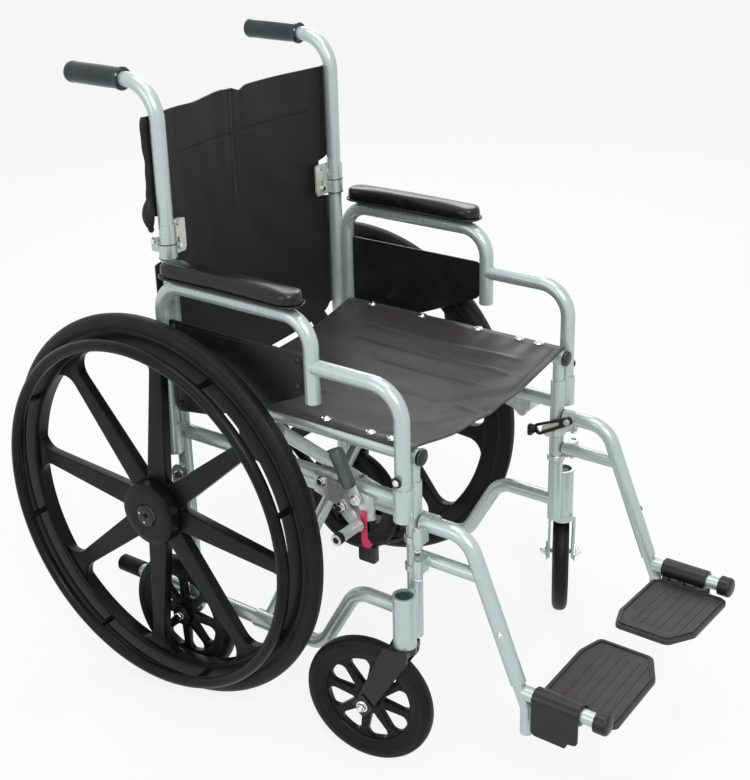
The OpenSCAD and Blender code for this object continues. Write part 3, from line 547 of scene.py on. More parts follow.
# Drive wheels
def window(inner, outer, half_angle, near, far, fillet, arc_steps=10):
    """Hole between two spokes whose half width goes from near to far, with round outer corners."""
    c, s = math.cos(half_angle), math.sin(half_angle)
    a = Vector((inner * c + near * s, inner * s - near * c))
    b = Vector((outer * c + far * s, outer * s - far * c))
    d = (b - a).normalized()
    normal = Vector((d.y, -d.x))
    start = a + normal * fillet
    reach = d.dot(start) ** 2 - start.length_squared + (outer - fillet) ** 2
    along_edge = math.sqrt(reach) - d.dot(start)
    centre = start + d * along_edge
    first, last = a + d * along_edge - centre, centre.normalized() * fillet
    swing = first.angle_signed(last, 0)
    half = [a] + [centre + Matrix.Rotation(-swing * k / 7, 2) @ first for k in range(8)]
    top = math.atan2(centre.y, centre.x)
    angles = np.linspace(top, -top, arc_steps)[1:-1]
    rim = [Vector((outer * math.cos(t), outer * math.sin(t))) for t in angles]
    return half + rim + [Vector((p.x, -p.y)) for p in reversed(half)]


def turned_loop(loop, angle):
    turn = Matrix.Rotation(angle, 2)
    return [turn @ Vector(p) for p in loop]


def drive_wheel():
    spokes, rim_in, rim_out, half_w, bore_r = 8, 255.0, 282.9, 13.0, 6.7
    place = Matrix(((0, 0, -1, DRIVE_X), (0, 1, 0, 0), (1, 0, 0, DRIVE_Z), (0, 0, 0, 1)))
    place = place @ Matrix.Rotation(math.radians(WHEEL_TURN), 4, "Z")
    step = 2 * math.pi / spokes
    hole = window(50, rim_in, step / 2, 19, 11, 26)
    holes = [turned_loop(hole, (i + 0.5) * step) for i in range(spokes)]
    holes.append(disc(bore_r, steps=32))
    form = Form().add(plate(disc(rim_in + 3, steps=160), 16, 2.6, holes), place)
    rim = [(rim_in, -9), (rim_in + 1.5, -12), (rim_in + 5, -half_w), (rim_out - 3, -half_w), (rim_out, -11)]
    rim += [(r, -z) for r, z in reversed(rim)]
    form.add(turned(rim, 160, closed=True), place)
    web_z = 8.1
    hub = [(bore_r, web_z), (48, web_z), (50, 10), (50, 24), (48.6, 27.4), (44, 29.4), (36, 30)]
    hub += [(20, 30), (17.4, 28.6), (17.2, 24.2), (bore_r, 24.2)]
    form.add(turned(hub, 96, closed=True), place)
    inner = [(bore_r, -35.4), (22.5, -35.4), (24, -34), (24, -24), (34, -23.6), (36, -21.5)]
    inner += [(36, -web_z), (bore_r, -web_z)]
    form.add(turned(inner, 64, closed=True), place)
    pair("drive_web", form, "black_composite", "drive_wheel", "drive_wheel")
    tyre = [(283.02, -13), (286, -14.9), (290, -15.5), (296, -14.6), (300.4, -11.6), (301.4, -10.1)]
    tyre += [(301.2, -9.4), (303.6, -7.4), (304.5, -4.6), (304.3, -4), (305, -2.4)]
    tyre += [(r, -z) for r, z in reversed(tyre)]
    form = Form().add(turned(tyre, 160, closed=True), place)
    pair("drive_tread", form, "black_tyre", "drive_wheel", "drive_tyre")
    cap = [(4.8, 31.4), (4.8, 33.0), (7, 33.6), (14, 33.4), (16.4, 32.4), (16.6, 31), (15.2, 30.2)]
    cap += [(15.1, 32.1), (8, 32.1)]
    form = Form().add(turned(cap, 48, closed=True), place)
    pair("axle_cap", form, "black_plastic", "drive_wheel")
    form = Form()
    for angle in (0.6, 2.3):
        spot = Vector((10.6 * math.cos(angle), 10.6 * math.sin(angle), 33.2))
        form.add(turned([(1.7, 0), (1.5, 0.9), (0.8, 1.2)], 12), place @ Matrix.Translation(spot))
    pair("axle_cap_screws", form, "chrome", "drive_wheel")


drive_wheel()


# Castor wheels and transport wheels
def small_wheel():
    spokes, hub_r, rim_in, rim_out, width = 8, 17.0, 64.0, 82.0, 25.0
    step = 2 * math.pi / spokes
    hole = window(24, rim_in + 1, step / 2, 7.8, 5.2, 10)
    holes = [turned_loop(hole, (i + 0.5) * step) for i in range(spokes)] + [disc(4.4, steps=24)]
    web = plate(disc(rim_in + 6, steps=120), 10, 2.2, holes)
    rim = [(rim_in + 1, -4.5), (rim_in + 3, -7.5), (rim_in + 6, -9.4), (rim_out - 2, -11.2), (rim_out, -11)]
    rim += [(r, -z) for r, z in reversed(rim)]
    hub = [(4.4, -13.3), (15.6, -13.3), (hub_r, -12), (hub_r, 12), (15.6, 13.3), (4.4, 13.3)]
    tyre = [(82.05, -11.4), (83.5, -12.3), (86, -width / 2), (89, -12.3), (90.4, -11.6), (90.9, -10.9)]
    tyre += [(93, -10.6), (95.4, -8.9), (97.2, -6), (98, -2.4)]
    tyre += [(r, -z) for r, z in reversed(tyre)]
    for kind in ("castor", "transport"):
        for side in SIDES:
            origin, axis = wheel_frame(f"{kind}_spin", side)
            place = along(origin, origin + axis)
            form = Form().add(web, place).add(turned(rim, 120, closed=True), place)
            form.add(turned(hub, 40, closed=True), place)
            body = f"{kind}_wheel_{side}"
            solid(f"{kind}_web_{side}", form, "black_composite", body, side, body)
            tread = Form().add(turned(tyre, 120, closed=True), place)
            solid(f"{kind}_tread_{side}", tread, "black_tyre", body, side)


small_wheel()


def fork_trim():
    """Diamond plates on the fork's ends, the axle's nuts, and the housing's top plugs."""
    leg_out, stem_x = 21.5, -221.5
    for side in SIDES:
        origin, axis = wheel_frame("castor_spin", side)
        plates, nuts = Form(), Form()
        diamond = rounded([(-17, 0), (0, -20), (17, 0), (0, 20)], 4)
        for way in (1, -1):
            seat = origin + axis * way * leg_out
            turn = along(seat, seat + axis * way)
            upright = turn.to_3x3().inverted() @ Vector((0, 0, 1))
            turn = turn @ Matrix.Rotation(math.atan2(upright.y, upright.x) - math.pi / 2, 4, "Z")
            plates.add(plate(diamond, 2.6, 0.7, [disc(7.6)]), turn @ lift(1.3))
            nut = [(7.2, 0), (7.2, 3.4), (6.3, 4.6)]
            nuts.add(turned(nut, 6), turn @ lift(4.2))
            tip = [(4.6, 0), (4.6, 1.6), (3.6, 3.4), (1.4, 4.2)]
            nuts.add(turned(tip, 20), turn @ lift(8.6))
            washer = [(8.4, 0), (8.8, 0.5), (8.6, 1.2)]
            nuts.add(turned(washer, 28), turn @ lift(2.9))
        material = "dark_paint" if side == "right" else "tube_paint"
        solid(f"fork_plates_{side}", plates, material, f"castor_fork_{side}", side)
        solid(f"castor_nuts_{side}", nuts, "chrome", f"castor_fork_{side}", side)
        stem = Vector((stem_x, FRONT_Y, 279.4 if side == "right" else 277.6))
        plug = turned([(12.6, -0.4), (12.8, 0), (12.4, 1.4), (9, 2.2), (4, 1.6), (1, 1.4)], 40)
        top = Form().add(plug, Matrix.Translation(stem))
        material = "green_plug" if side == "right" else "black_plastic"
        solid(f"housing_plug_{side}", top, material, f"frame_{side}", side)


fork_trim()


# Push handles and the trim of the back's hinges
def handles():
    front_y, back_y = 58.0, 166.0
    length = back_y - front_y
    profile = [(11.3, 0.2), (15.2, 0), (16.5, 1.4), (16.5, 5.2), (15.4, 6.6)]
    profile += [(15.0 + 0.35 * math.sin(math.pi * t), 8 + 88 * t) for t in np.linspace(0, 1, 9)]
    profile += [(15.5, 98), (15.6, 102), (14.4, 105.6), (11, 107.6), (5, length), (1.6, length)]
    profile += [(1.6, 104.4), (11.3, 104.2)]
    place = along((FRAME_X, front_y, HANDLE_Z), (FRAME_X, back_y, HANDLE_Z))
    pair("grip", Form().add(turned(profile, 56, closed=True), place), "grip", "back", "hand_grip")


handles()


def hinge_trim():
    nuts = Form()
    for way in (1, -1):
        nuts.bolt((FRAME_X + way * 9.4, 17.6, HINGE_Z), (way, 0, 0), 4.6, 3.4)
    nuts.bolt((FRAME_X + 27, 2.2, HINGE_Z - 14), (0, -1, 0), 4.4, 2.6)
    pair("hinge_nuts", nuts, "chrome", "frame")
    collars = Form()
    for z in (682.4, 704.2):
        ring = [(11.3, 0), (13.6, 0), (14.0, 0.4), (14.0, 1.2), (13.6, 1.6), (11.3, 1.6)]
        collars.add(turned(ring, 40, closed=True), Matrix.Translation((FRAME_X, 0, z - 1.8)))
    pair("hinge_collars", collars, "dark_paint", "frame")


hinge_trim()


# Arms
def arms():
    back_y, front_y, top_z, knob_z = -15.4, -262.6, 599.8, 460
    panel = [(back_y, top_z), (front_y, top_z), (front_y, 541), (-208.8, 516.2), (-91.2, 466.2)]
    panel += [(back_y, 455.2)]
    outline = rounded(panel, [5, 8, 14, 10, 12, 10])
    form = Form().add(plate(outline, 3.2, 0.9), side_at(ARM_X))
    lip = [(-20, 595), (-258, 595), (-258, 543.5), (-207.5, 520.8), (-90.5, 471), (-20, 460.8)]
    lip = rounded(lip, [4, 7, 13, 9, 11, 9])
    form.add(plate(lip, 1.2, 0.4, [inward(lip, 2.6)]), side_at(ARM_X - 1.7))
    pair("side_panel", form, "black_plastic", "arm", "arm_panel")
    screws = Form()
    for y, z in ((-26, 590), (-252, 590), (-250, 551), (-26, 470)):
        screws.screw((ARM_X - 2.2, y, z), (-1, 0, 0), 3.2, 4.6)
    pair("panel_screws", screws, "black_plastic", "arm")
    knob = [(3.4, 0), (3.4, 5), (4.6, 5.6), (4.9, 7), (4.9, 9), (4.0, 11), (2.4, 11.9), (0.6, 12)]
    form = Form().add(turned(knob, 32), along((ARM_X - 7, FRONT_Y, knob_z), (ARM_X - 8, FRONT_Y, knob_z)))
    pair("arm_knob", form, "white_button", "arm_button", "arm_button")
    collar = [(3.9, 0), (7.4, 0), (7.8, 0.5), (7.4, 2.4), (5.4, 3), (3.9, 3)]
    place = along((ARM_X - 13.6, FRONT_Y, knob_z), (ARM_X - 15, FRONT_Y, knob_z))
    form = Form().add(turned(collar, 32, closed=True), place)
    pair("knob_collar", form, "dark_paint", "frame")


arms()


PUFF_FRAMES = 20


def puffed(name, solid_mesh, voxel, pressure, cap):
    """The solid as a padded skin: remeshed, then blown up by the cloth solver by no more than a cap."""
    verts, faces = solid_mesh
    mesh = bpy.data.meshes.new(name)
    mesh.from_pydata([point(*v) for v in verts], [], faces)
    obj = linked(name, mesh)
    grid = obj.modifiers.new("grid", "REMESH")
    grid.mode = "VOXEL"
    grid.voxel_size = voxel
    skin = bpy.data.meshes.new_from_object(obj.evaluated_get(bpy.context.evaluated_depsgraph_get()))
    obj.modifiers.clear()
    obj.data = skin
    rest = np.array([v.co for v in skin.vertices])
    cloth = obj.modifiers.new("cloth", "CLOTH")
    cloth.settings.use_pressure = True
    cloth.settings.uniform_pressure_force = pressure
    cloth.settings.effector_weights.gravity = 0
    for number in range(1, PUFF_FRAMES + 1):
        bpy.context.scene.frame_set(number)
    blown = obj.evaluated_get(bpy.context.evaluated_depsgraph_get())
    moved = np.array([v.co for v in blown.data.vertices]) - rest
    obj.modifiers.clear()
    bpy.context.scene.frame_set(1)
    far = np.linalg.norm(moved, axis=1, keepdims=True)
    rest = rest + moved * np.minimum(1, cap / np.maximum(far, 1e-9))
    return obj, rest


def arm_pads():
    """Arm pads: a filled vinyl skin, flat below and crowned above, with a piping round it."""
    back_y, front_y, half_w, low, high = -13.0, -259.0, 20.0, PAD_Z + 0.6, 687.0
    turn = [(half_w * math.cos(t), half_w * math.sin(t)) for t in np.linspace(0, math.pi, 13)]
    line = [(ARM_X + c, back_y - half_w + s) for c, s in turn]
    line += [(ARM_X - c, front_y + half_w - s) for c, s in turn]
    start = plate(line, high - low, 4.5)
    middle = (low + high) / 2
    skin = [(x, y, z + middle) for x, y, z in start[0]]
    obj, places = puffed("arm_pad_skin", (skin, start[1]), voxel=0.005, pressure=4.0, cap=0.005)
    floor, top = PAD_Z * MM, 690 * MM
    places[:, 2] = np.clip(places[:, 2], floor, None)
    over = places[:, 2] > floor + 0.012
    places[over, 2] = np.minimum(places[over, 2], top)
    faces = [tuple(p.vertices) for p in obj.data.polygons]
    bpy.data.objects.remove(obj)
    middle_y = (back_y + front_y) / 2
    path = []
    for x, y in line:
        path.append((ARM_X + (x - ARM_X) * 1.07, y + math.copysign(1.0, y - middle_y), PAD_Z + 5.2))
    piping = Form().add(swept(path + path[:2], 1.7, 10))
    for side, sign in SIDES.items():
        mesh = bpy.data.meshes.new("pad")
        mesh.from_pydata([(sign * x, y, z) for x, y, z in places], [], faces)
        if sign < 0:
            mesh.flip_normals()
        for polygon in mesh.polygons:
            polygon.use_smooth = True
        pad = linked(f"arm_cushion_{side}", mesh)
        pad.modifiers.new("smooth", "SUBSURF").levels = 1
        pad.modifiers["smooth"].render_levels = 1
        dressed(pad, "pad_vinyl", f"arm_{side}", f"arm_pad_{side}")
        solid(f"arm_piping_{side}", piping, "pad_vinyl", f"arm_{side}", side)


arm_pads()


# Seat and back, stretched between the tubes
def cloth_sheet(top, nu, nv, thickness):
    """Closed sheet: top(u, v) gives a point in mm for u and v from 0 to 1."""
    grid = np.array([[top(i / nu, j / nv) for j in range(nv + 1)] for i in range(nu + 1)])
    normal = np.cross(np.gradient(grid, axis=0), np.gradient(grid, axis=1))
    normal /= np.linalg.norm(normal, axis=2, keepdims=True)
    under = grid - normal * thickness
    verts = [tuple(p) for p in grid.reshape(-1, 3)] + [tuple(p) for p in under.reshape(-1, 3)]
    w = nv + 1
    n = (nu + 1) * w
    faces = []
    for i in range(nu):
        for j in range(nv):
            a, b, c, d = i * w + j, (i + 1) * w + j, (i + 1) * w + j + 1, i * w + j + 1
            faces.append((a, b, c, d))
            faces.append((n + a, n + d, n + c, n + b))
    for i in range(nu):
        for j in (0, nv):
            a, b = i * w + j, (i + 1) * w + j
            faces.append((a, n + a, n + b, b))
    for j in range(nv):
        for i in (0, nu):
            a, b = i * w + j, i * w + j + 1
            faces.append((a, b, n + b, n + a))
    return verts, faces


def hill(distance, width):
    return math.exp(-(distance / width) ** 2)


def between(value, low, high, soft):
    """1 between low and high, falling to 0 over a soft distance outside."""
    return min(1.0, max(0.0, (value - low) / soft + 1)) * min(1.0, max(0.0, (high - value) / soft + 1))


CLOTH_X = 206  # half the width of the cloths
CLOTH_T = 3.4  # thickness
SEAT_Z = 499.3  # top of the seat cloth on the rails
SEAT_SAG = 24  # how deep the middle hangs
SEAT_SCREWS = (-72, -170, -275, -350, -384)
# Raised lines of the seat: x, back end, front end and height
SEAT_RIDGES = (
    (138, -117, -346, 2.0), (100, -135, -355, 1.8), (55, -194, -348, 1.6), (-20, -268, -400, 1.6),
    (-92, -60, -210, 1.0),
)


def seat_top(u, v):
    x, y = (2 * u - 1) * CLOTH_X, -22 - 402 * v
    inner = -FRAME_X - 4
    if abs(x) > inner:
        return x, y, SEAT_Z - 2.5 * (max(0.0, abs(x) + FRAME_X) / 11) ** 2
    sag = 1 - (x / inner) ** 2
    z = SEAT_Z - SEAT_SAG * sag
    for place, rear, end, height in SEAT_RIDGES:
        drift = 4 * math.sin((y - rear) / 60)
        z += 1.5 * height * hill(x - place - drift, 5.0) * between(y, end, rear, 40)
    front = between(y, -424, -360, 40)
    fold = math.sin((x * 0.62 + y * 1.0) / 9.5 + 1.4 * math.sin(x / 37))
    z += 1.3 * front * fold * sag * between(x, -150, 110, 60)
    z += 0.8 * sag * math.sin(x / 16 + 1.7 * math.sin(y / 48)) * between(y, -400, -60, 50)
    for screw in SEAT_SCREWS:
        for edge in (-1, 1):
            reach = math.hypot(x - edge * 176, y - screw)
            z += 0.8 * math.sin((y - screw) / 7.0) * hill(reach, 26)
    hem = between(y, -416, -414, 2)
    return x, y, z - 0.9 * hem * hill(y + 415, 1.6)


def seat():
    form = Form().add(cloth_sheet(seat_top, 200, 150, -CLOTH_T))
    cloth = solid("seat_cloth", form, "seat_vinyl", "rail_right", replaces="seat_upholstery")
    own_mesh(cloth)
    screws = Form()
    for y in SEAT_SCREWS:
        screws.screw((FRAME_X, y, 499.0), (0, 0, 1))
    pair("seat_screws", screws, "chrome", "rail")


seat()


CANE_EDGE = 186  # half width at which the back cloth meets the canes
BACK_TOP_Z, BACK_BOTTOM_Z = 884.0, 488.0
PLEAT_Z = 758  # where the pleat starts
SEAM_Z = 817  # top hem's seam


def back_top(low, high, hem):
    """Front face of the back cloth, with its pleat, hem seam and soft folds."""
    def place(u, v):
        z = low + (high - low) * v
        x = (2 * u - 1) * (CLOTH_X - 31 * between(z, 678, 734, 9))
        belly = max(0.0, 1 - (x / CANE_EDGE) ** 2)
        z -= hem * (1 - v) * math.sqrt(belly)
        y = 12.9 + 20 * belly
        top_drop = 6.0 * hill(x - 13, 10) + 2.5 * hill(x + 90, 30) - 2.0 * hill(x + 30, 16)
        top_drop *= between(z, 850, 900, 30)
        pleat = between(z, PLEAT_Z, BACK_TOP_Z, 60) * (hill(x + 26, 17) + 0.9 * hill(x + 11, 3.2))
        y -= 2.6 * pleat * belly
        y += 1.5 * between(z, PLEAT_Z, BACK_TOP_Z, 50) * hill(x + 5.5, 3.4)
        seam = between(x, -138, -14, 4) + between(x, 17, 155, 4)
        y += 1.0 * seam * hill(z - SEAM_Z, 2.2)
        y -= 0.7 * seam * between(z, SEAM_Z + 4, BACK_TOP_Z, 3)
        streaks = math.sin(x / 7.5 + 2 * math.sin(z / 60)) * between(x, -150, -20, 30)
        y += 0.35 * streaks * between(z, 640, 800, 40)
        diagonal = math.sin((x * 0.8 + z) / 13) * between(x, 40, 160, 40) * between(z, 510, 720, 50)
        y += 0.8 * diagonal * belly
        if abs(x) > CANE_EDGE:
            y += 0.03 * (abs(x) - CANE_EDGE) ** 1.6
        y += 1.1 * belly * math.sin(x / 21 + z / 55) * between(z, 600, BACK_TOP_Z, 60)
        return x, y, z - top_drop
    return place


# The back's two sheets: name, lower and upper edge, how much deeper the middle hangs, and the body
BACK_PARTS = (
    ("lower", BACK_BOTTOM_Z, HINGE_Z - 0.4, 38.0, "frame_right"),
    ("upper", HINGE_Z + 0.4, BACK_TOP_Z, 0.0, "back_right"),
)
BACK_SCREWS = {"frame": (512, 560, 618, 664), "back": (752, 796, 838, 872)}


def back():
    for part, low, high, hem, body in BACK_PARTS:
        form = Form().add(cloth_sheet(back_top(low, high, hem), 200, 110, CLOTH_T))
        cloth = solid("back_cloth_" + part, form, "back_vinyl", body, replaces="back_upholstery_" + part)
        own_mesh(cloth)
    for body, heights in BACK_SCREWS.items():
        screws = Form()
        for z in heights:
            screws.screw((FRAME_X, 16.9, z), (0, 1, 0), 4.2, 6.6)
        pair(f"{body}_screws", screws, "chrome", body)
    roll = []
    for t in np.linspace(0, 1, 24):
        roll.append((-206.5 - 0.8 * math.sin(t * 9), 16.4 + 1.2 * math.sin(t * 7), 881 - 113 * t))
    sleeve = Form().add(swept(roll, lambda t: 4.0 + 0.5 * math.sin(t * 21)))
    bunch = [(-209.5 - 3 * math.sin(math.pi * t), 15.5, 766 - 42 * t) for t in np.linspace(0, 1, 14)]
    sleeve.add(swept(bunch, lambda t: 4.4 + 4.6 * math.sin(math.pi * min(1, 1.1 * t)) ** 0.8))
    pair("back_roll", sleeve, "back_vinyl", "back")


back()


# Frame trim: plugs, clamp rings and bolts
PIVOT_X, PIVOT_Y = -215.0, -438.0  # hanger pivot
TRANSPORT_Z = 102.0  # transport-wheel axle


def frame_trim():
    plug = turned([(11.8, 0), (12.3, 0.6), (12.3, 4.4), (10.6, 5.8), (6, 6.6), (1, 6.8)], 40)
    form = Form().add(plug, along((FRAME_X, -429.2, RAIL_Z), (FRAME_X, -435, RAIL_Z)))
    pair("rail_plug", form, "black_plastic", "rail")
    collar = [(11.2, 0), (13.4, 0), (13.9, 0.6), (13.9, 8.4), (13.4, 9), (11.2, 9)]
    rings, bolts = Form(), Form()
    for z in (355.6, 311.6):
        rings.add(turned(collar, 40, closed=True), Matrix.Translation((FRAME_X, FRONT_Y, z)))
        bolts.bolt((PIVOT_X, PIVOT_Y, z + 1.6), (0, 0, -1), 5.4, 3.6)
    pair("post_rings", rings, "zinc", "frame")
    for z in (DRIVE_Z - 36, DRIVE_Z + 36):
        bolts.bolt((-212.2, 0, z), (-1, 0, 0), 7.0, 4.6)
    bolts.bolt((-237.8, 0, TRANSPORT_Z), (-1, 0, 0), 7.4, 4.4)
    bolts.bolt((-186, 0, TRANSPORT_Z), (1, 0, 0), 7.0, 4.0, 8.6)
    bolts.bolt((LOCK_X - 0.2, -276, MID_Z + 1), (-1, 0, 0), 5.6, 4.2, 7.4)
    pair("frame_bolts", bolts, "chrome", "frame")


frame_trim()


def hanger_trim():
    crescent = [(9.6, 0), (10.9, 0.3), (10.9, 1.1), (9.6, 1.5)]
    for z, scale in ((HANGER_Z, 1.0), (HANGER_LOW_Z, 0.86)):
        profile = [(r * scale, h) for r, h in crescent]
        form = Form().add(turned(profile, 40), along((FRAME_X, -432.1, z), (FRAME_X, -430, z)))
        pair(f"hanger_plug_{int(z)}", form, "black_plastic", "hanger")
    nuts = Form().bolt((-177.2, -445, HANGER_Z), (1, 0, 0), 5.2, 3.4)
    for z in (HANGER_Z - 2, HANGER_LOW_Z - 2):
        nut = [(5.2, 0), (5.4, 0.4), (5.2, 1.6), (3.4, 2.6)]
        nuts.add(turned(nut, 24), Matrix.Translation((PIVOT_X, PIVOT_Y, z)))
    pair("hanger_nuts", nuts, "zinc", "hanger")
    lever_x, tab_y = -181, -388
    pivot, tip = Vector((-445, HANGER_Z)), Vector((-393, 362))
    way = (tip - pivot).normalized()
    normal = Vector((-way.y, way.x))
    near, far = pivot - way * 8, tip + way * 6
    loop = [near + normal * 6, near - normal * 6, far - normal * 11, far + normal * 9]
    near = pivot + way * 16
    hole = [near + normal * 2.6, near - normal * 2.8, tip - normal * 5.6, tip + normal * 4.4]
    lever = Form().add(plate(rounded(loop, [6, 6, 8, 8]), 3.8, 0.9, [rounded(hole, 2.4)]), side_at(lever_x))
    tab = [(-182.8, 355.4), (-161.4, 355.4), (-161.4, 374.6), (-170, 374.6), (-178, 368), (-182.8, 368)]
    lever.add(plate(rounded(tab, [2, 5, 5, 5, 3, 2]), 5.4, 1.4), front_at(tab_y))
    pair("latch_lever", lever, "black_plastic", "hanger_latch", "hanger_latch")
    catch = [(-452, 398), (-452, 378), (-408, 350), (-398, 358), (-400, 368), (-430, 384), (-436, 398)]
    form = Form().add(plate(rounded(catch, 3), 1.0, 0.3), side_at(-183.7))
    pair("latch_plate", form, "pale_zinc", "hanger")


hanger_trim()


# Footplates
CAP_Y = -699.4  # rear face of the pivot's end cap


def footplates():
    tilt = Matrix.Translation((FRAME_X, FOOT_BACK_Y + 8, FOOT_Z - 12)) @ Matrix.Rotation(math.radians(-3), 4, "Y")
    w, l = FOOT_W, FOOT_L
    outline = [(13, -14), (24, -0.4), (w - 39, -0.4), (w - 0.4, -13), (w - 0.4, 24 - l)]
    outline += [(w - 43, 0.4 - l), (20, 0.4 - l), (13, 12 - l)]
    edge = rounded(outline, [5, 10, 16, 10, 14, 18, 10, 6])
    form = Form().add(plate(edge, 8, 1.6), tilt @ lift(-4))
    rim = [(18, -16), (27, -4), (w - 40, -4), (w - 4.5, -16), (w - 4.5, 26 - l)]
    rim += [(w - 44, 4.6 - l), (22, 4.6 - l), (18, 13 - l)]
    rim = rounded(rim, [4, 8, 14, 8, 12, 16, 8, 5])
    form.add(plate(rim, 2.4, 0.8, [inward(rim, 3.4)]), tilt @ lift(0.9))
    ribs = 6
    for i in range(ribs):
        y = -29 - 12.4 * i - 2.6 * (i // 2)
        bar = rounded([(32, y - 2.3), (w - 24, y - 2.3), (w - 24, y + 2.3), (32, y + 2.3)], 2.2, 4)
        form.add(plate(bar, 3.0, 1.0), tilt @ lift(-0.8))
    pair("foot_tread", form, "footplate_plastic", "footplate", "footplate")
    barrel_l = 70
    front = FOOT_BACK_Y - barrel_l
    barrel = [(10.3, 0), (13.8, 0), (15, 1.2), (15, barrel_l - 1.2), (13.8, barrel_l), (10.3, barrel_l)]
    place = along((FRAME_X, FOOT_BACK_Y, FOOT_Z), (FRAME_X, front, FOOT_Z))
    hinge = Form().add(turned(barrel, 48, closed=True), place)
    web = rounded([(-194, 161), (-177, 161), (-176, 167), (-184, 176), (-194, 178)], 2)
    for y in (FOOT_BACK_Y - 8, FOOT_BACK_Y - 33, FOOT_BACK_Y - 58):
        hinge.add(plate(web, 9, 1.2), front_at(y))
    rear = FOOT_BACK_Y - 0.4
    shield = [(rear, 179), (rear, 129), (front + 18, 128.4), (front + 14, 137)]
    shield += [(front + 0.4, 139), (front + 0.4, 179)]
    hinge.add(plate(rounded(shield, [4, 8, 3, 3, 6, 4]), 4.6, 1.2), side_at(-207.6))
    pair("foot_hinge", hinge, "black_plastic", "footplate", slot="footplate_plastic")
    cap = turned([(13.8, 0), (14.8, 0.8), (14.8, 15), (13.8, 17.4), (11, 19), (5, 19.8), (1, 20)], 48)
    form = Form().add(cap, along((FRAME_X, CAP_Y, FOOT_Z), (FRAME_X, CAP_Y - 1, FOOT_Z)))
    pair("pivot_cap", form, "black_plastic", "hanger")
    screw = Form().screw((FRAME_X - 9.6, -560, 262), (-1, 0, 0), 3.6, 5)
    pair("extension_screw", screw, "chrome", "hanger")


footplates()


# Wheel locks
def wheel_locks():
    foot, top = Vector((-338, 402)), Vector((-306, 472))
    way = (top - foot).normalized()
    normal = Vector((-way.y, way.x))
    mid = foot + way * 25
    loop = [foot - way * 9 + normal * 9, foot - way * 9 - normal * 9, mid - normal * 6, mid + normal * 6]
    lever = plate(rounded(loop, [8, 8, 4, 4]), 4.4, 0.6, [disc(4.4, foot)])
    form = Form().add(lever, side_at(LOCK_X - 2.75))
    pair("lock_plate", form, "zinc", "lock_lever", "lock_lever")
    base = foot + way * 19
    start, end = Vector((LOCK_X - 6, base.x, base.y)), Vector((LOCK_X - 6, top.x, top.y))
    length = (end - start).length
    profile = [(7, 0), (9.4, 1.5), (10.2, 6), (10.2, length * 0.55), (11, length - 8)]
    profile += [(9.6, length - 2.4), (6, length), (1.5, length + 0.2)]
    pair("lock_grip", Form().add(turned(profile, 36), along(start, end)), "lock_grip", "lock_lever")
    bolts = Form()
    bolts.bolt((LOCK_X - 5.2, foot.x, foot.y), (-1, 0, 0), 6.2, 4.6, 8.0)
    bolts.bolt((LOCK_X - 11.6, -318, 388), (-1, 0, 0), 5.6, 4.0, 7.2)
    pair("lock_bolts", bolts, "chrome", "frame")
    end_cap = turned([(8.1, 0), (8.3, 0.6), (8.3, 9), (7.4, 10.4), (2, 10.8)], 32)
    form = Form().add(end_cap, along((-258.4, -342.1, 365.5), (-270, -342.1, 365.5)))
    pair("shoe_tip", form, "black_tyre", "brake_shoe")


wheel_locks()


# Floor, world, lamps
WHITE = (1, 1, 1, 1)


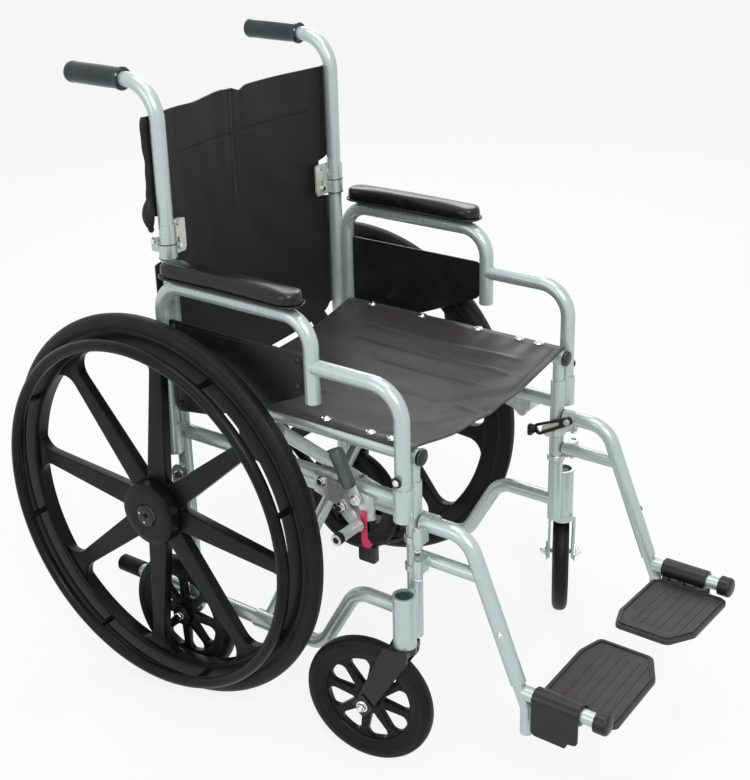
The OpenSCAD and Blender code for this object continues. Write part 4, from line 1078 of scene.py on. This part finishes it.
def make_stage():
    size, glow = 40.0, 0.86
    mesh = bpy.data.meshes.new("floor")
    corners = [(-size, -size, 0), (size, -size, 0), (size, size, 0), (-size, size, 0)]
    mesh.from_pydata(corners, [], [(0, 1, 2, 3)])
    floor = linked("floor", mesh)
    mat, tree, bsdf = new_material("floor", (0.93, 0.93, 0.93), 0.9)
    light = add_node(tree, "ShaderNodeEmission", Color=WHITE)
    mix = add_node(tree, "ShaderNodeMixShader")
    path = add_node(tree, "ShaderNodeLightPath")
    share = add_node(tree, "ShaderNodeMath", operation="MULTIPLY")
    share.inputs[1].default_value = glow
    tree.links.new(seen_rays(tree, path), share.inputs[0])
    tree.links.new(share.outputs[0], mix.inputs["Fac"])
    tree.links.new(bsdf.outputs[0], mix.inputs[1])
    tree.links.new(light.outputs[0], mix.inputs[2])
    out = tree.nodes["Material Output"]
    tree.links.new(mix.outputs[0], out.inputs["Surface"])
    floor.data.materials.append(mat)


def seen_rays(tree, path):
    """1 for camera, glossy and transmission rays."""
    total = path.outputs["Is Camera Ray"]
    for kind in ("Is Glossy Ray", "Is Transmission Ray"):
        most = add_node(tree, "ShaderNodeMath", operation="MAXIMUM")
        tree.links.new(total, most.inputs[0])
        tree.links.new(path.outputs[kind], most.inputs[1])
        total = most.outputs[0]
    return total


def make_world():
    world = bpy.data.worlds.new("studio")
    bpy.context.scene.world = world
    world.use_nodes = True
    tree = world.node_tree
    tree.nodes.clear()
    out = tree.nodes.new("ShaderNodeOutputWorld")
    seen = add_node(tree, "ShaderNodeBackground", Strength=1.0, Color=WHITE)
    soft = add_node(tree, "ShaderNodeBackground", Strength=0.38, Color=(0.93, 0.97, 1.0, 1))
    mix = tree.nodes.new("ShaderNodeMixShader")
    path = tree.nodes.new("ShaderNodeLightPath")
    tree.links.new(seen_rays(tree, path), mix.inputs["Fac"])
    tree.links.new(soft.outputs[0], mix.inputs[1])
    tree.links.new(seen.outputs[0], mix.inputs[2])
    tree.links.new(mix.outputs[0], out.inputs["Surface"])


def area_light(name, place, size, power):
    data = bpy.data.lights.new(name, "AREA")
    data.shape = "RECTANGLE"
    data.size, data.size_y = size
    data.energy = power
    obj = linked(name, data)
    obj.location = place
    target = Vector((0, 0, 0.45))
    obj.rotation_euler = (target - Vector(place)).to_track_quat("-Z", "Y").to_euler()


make_stage()
make_world()
area_light("key", (-1.7, -2.0, 2.7), (1.1, 0.9), 50)
area_light("fill", (-2.6, 0.6, 1.4), (1.2, 1.4), 9)
area_light("rim", (2.2, 1.6, 2.2), (1.6, 1.2), 26)
area_light("top", (0, 0, 3.0), (1.8, 1.8), 24)
bpy.context.scene.view_settings.view_transform = "Standard"
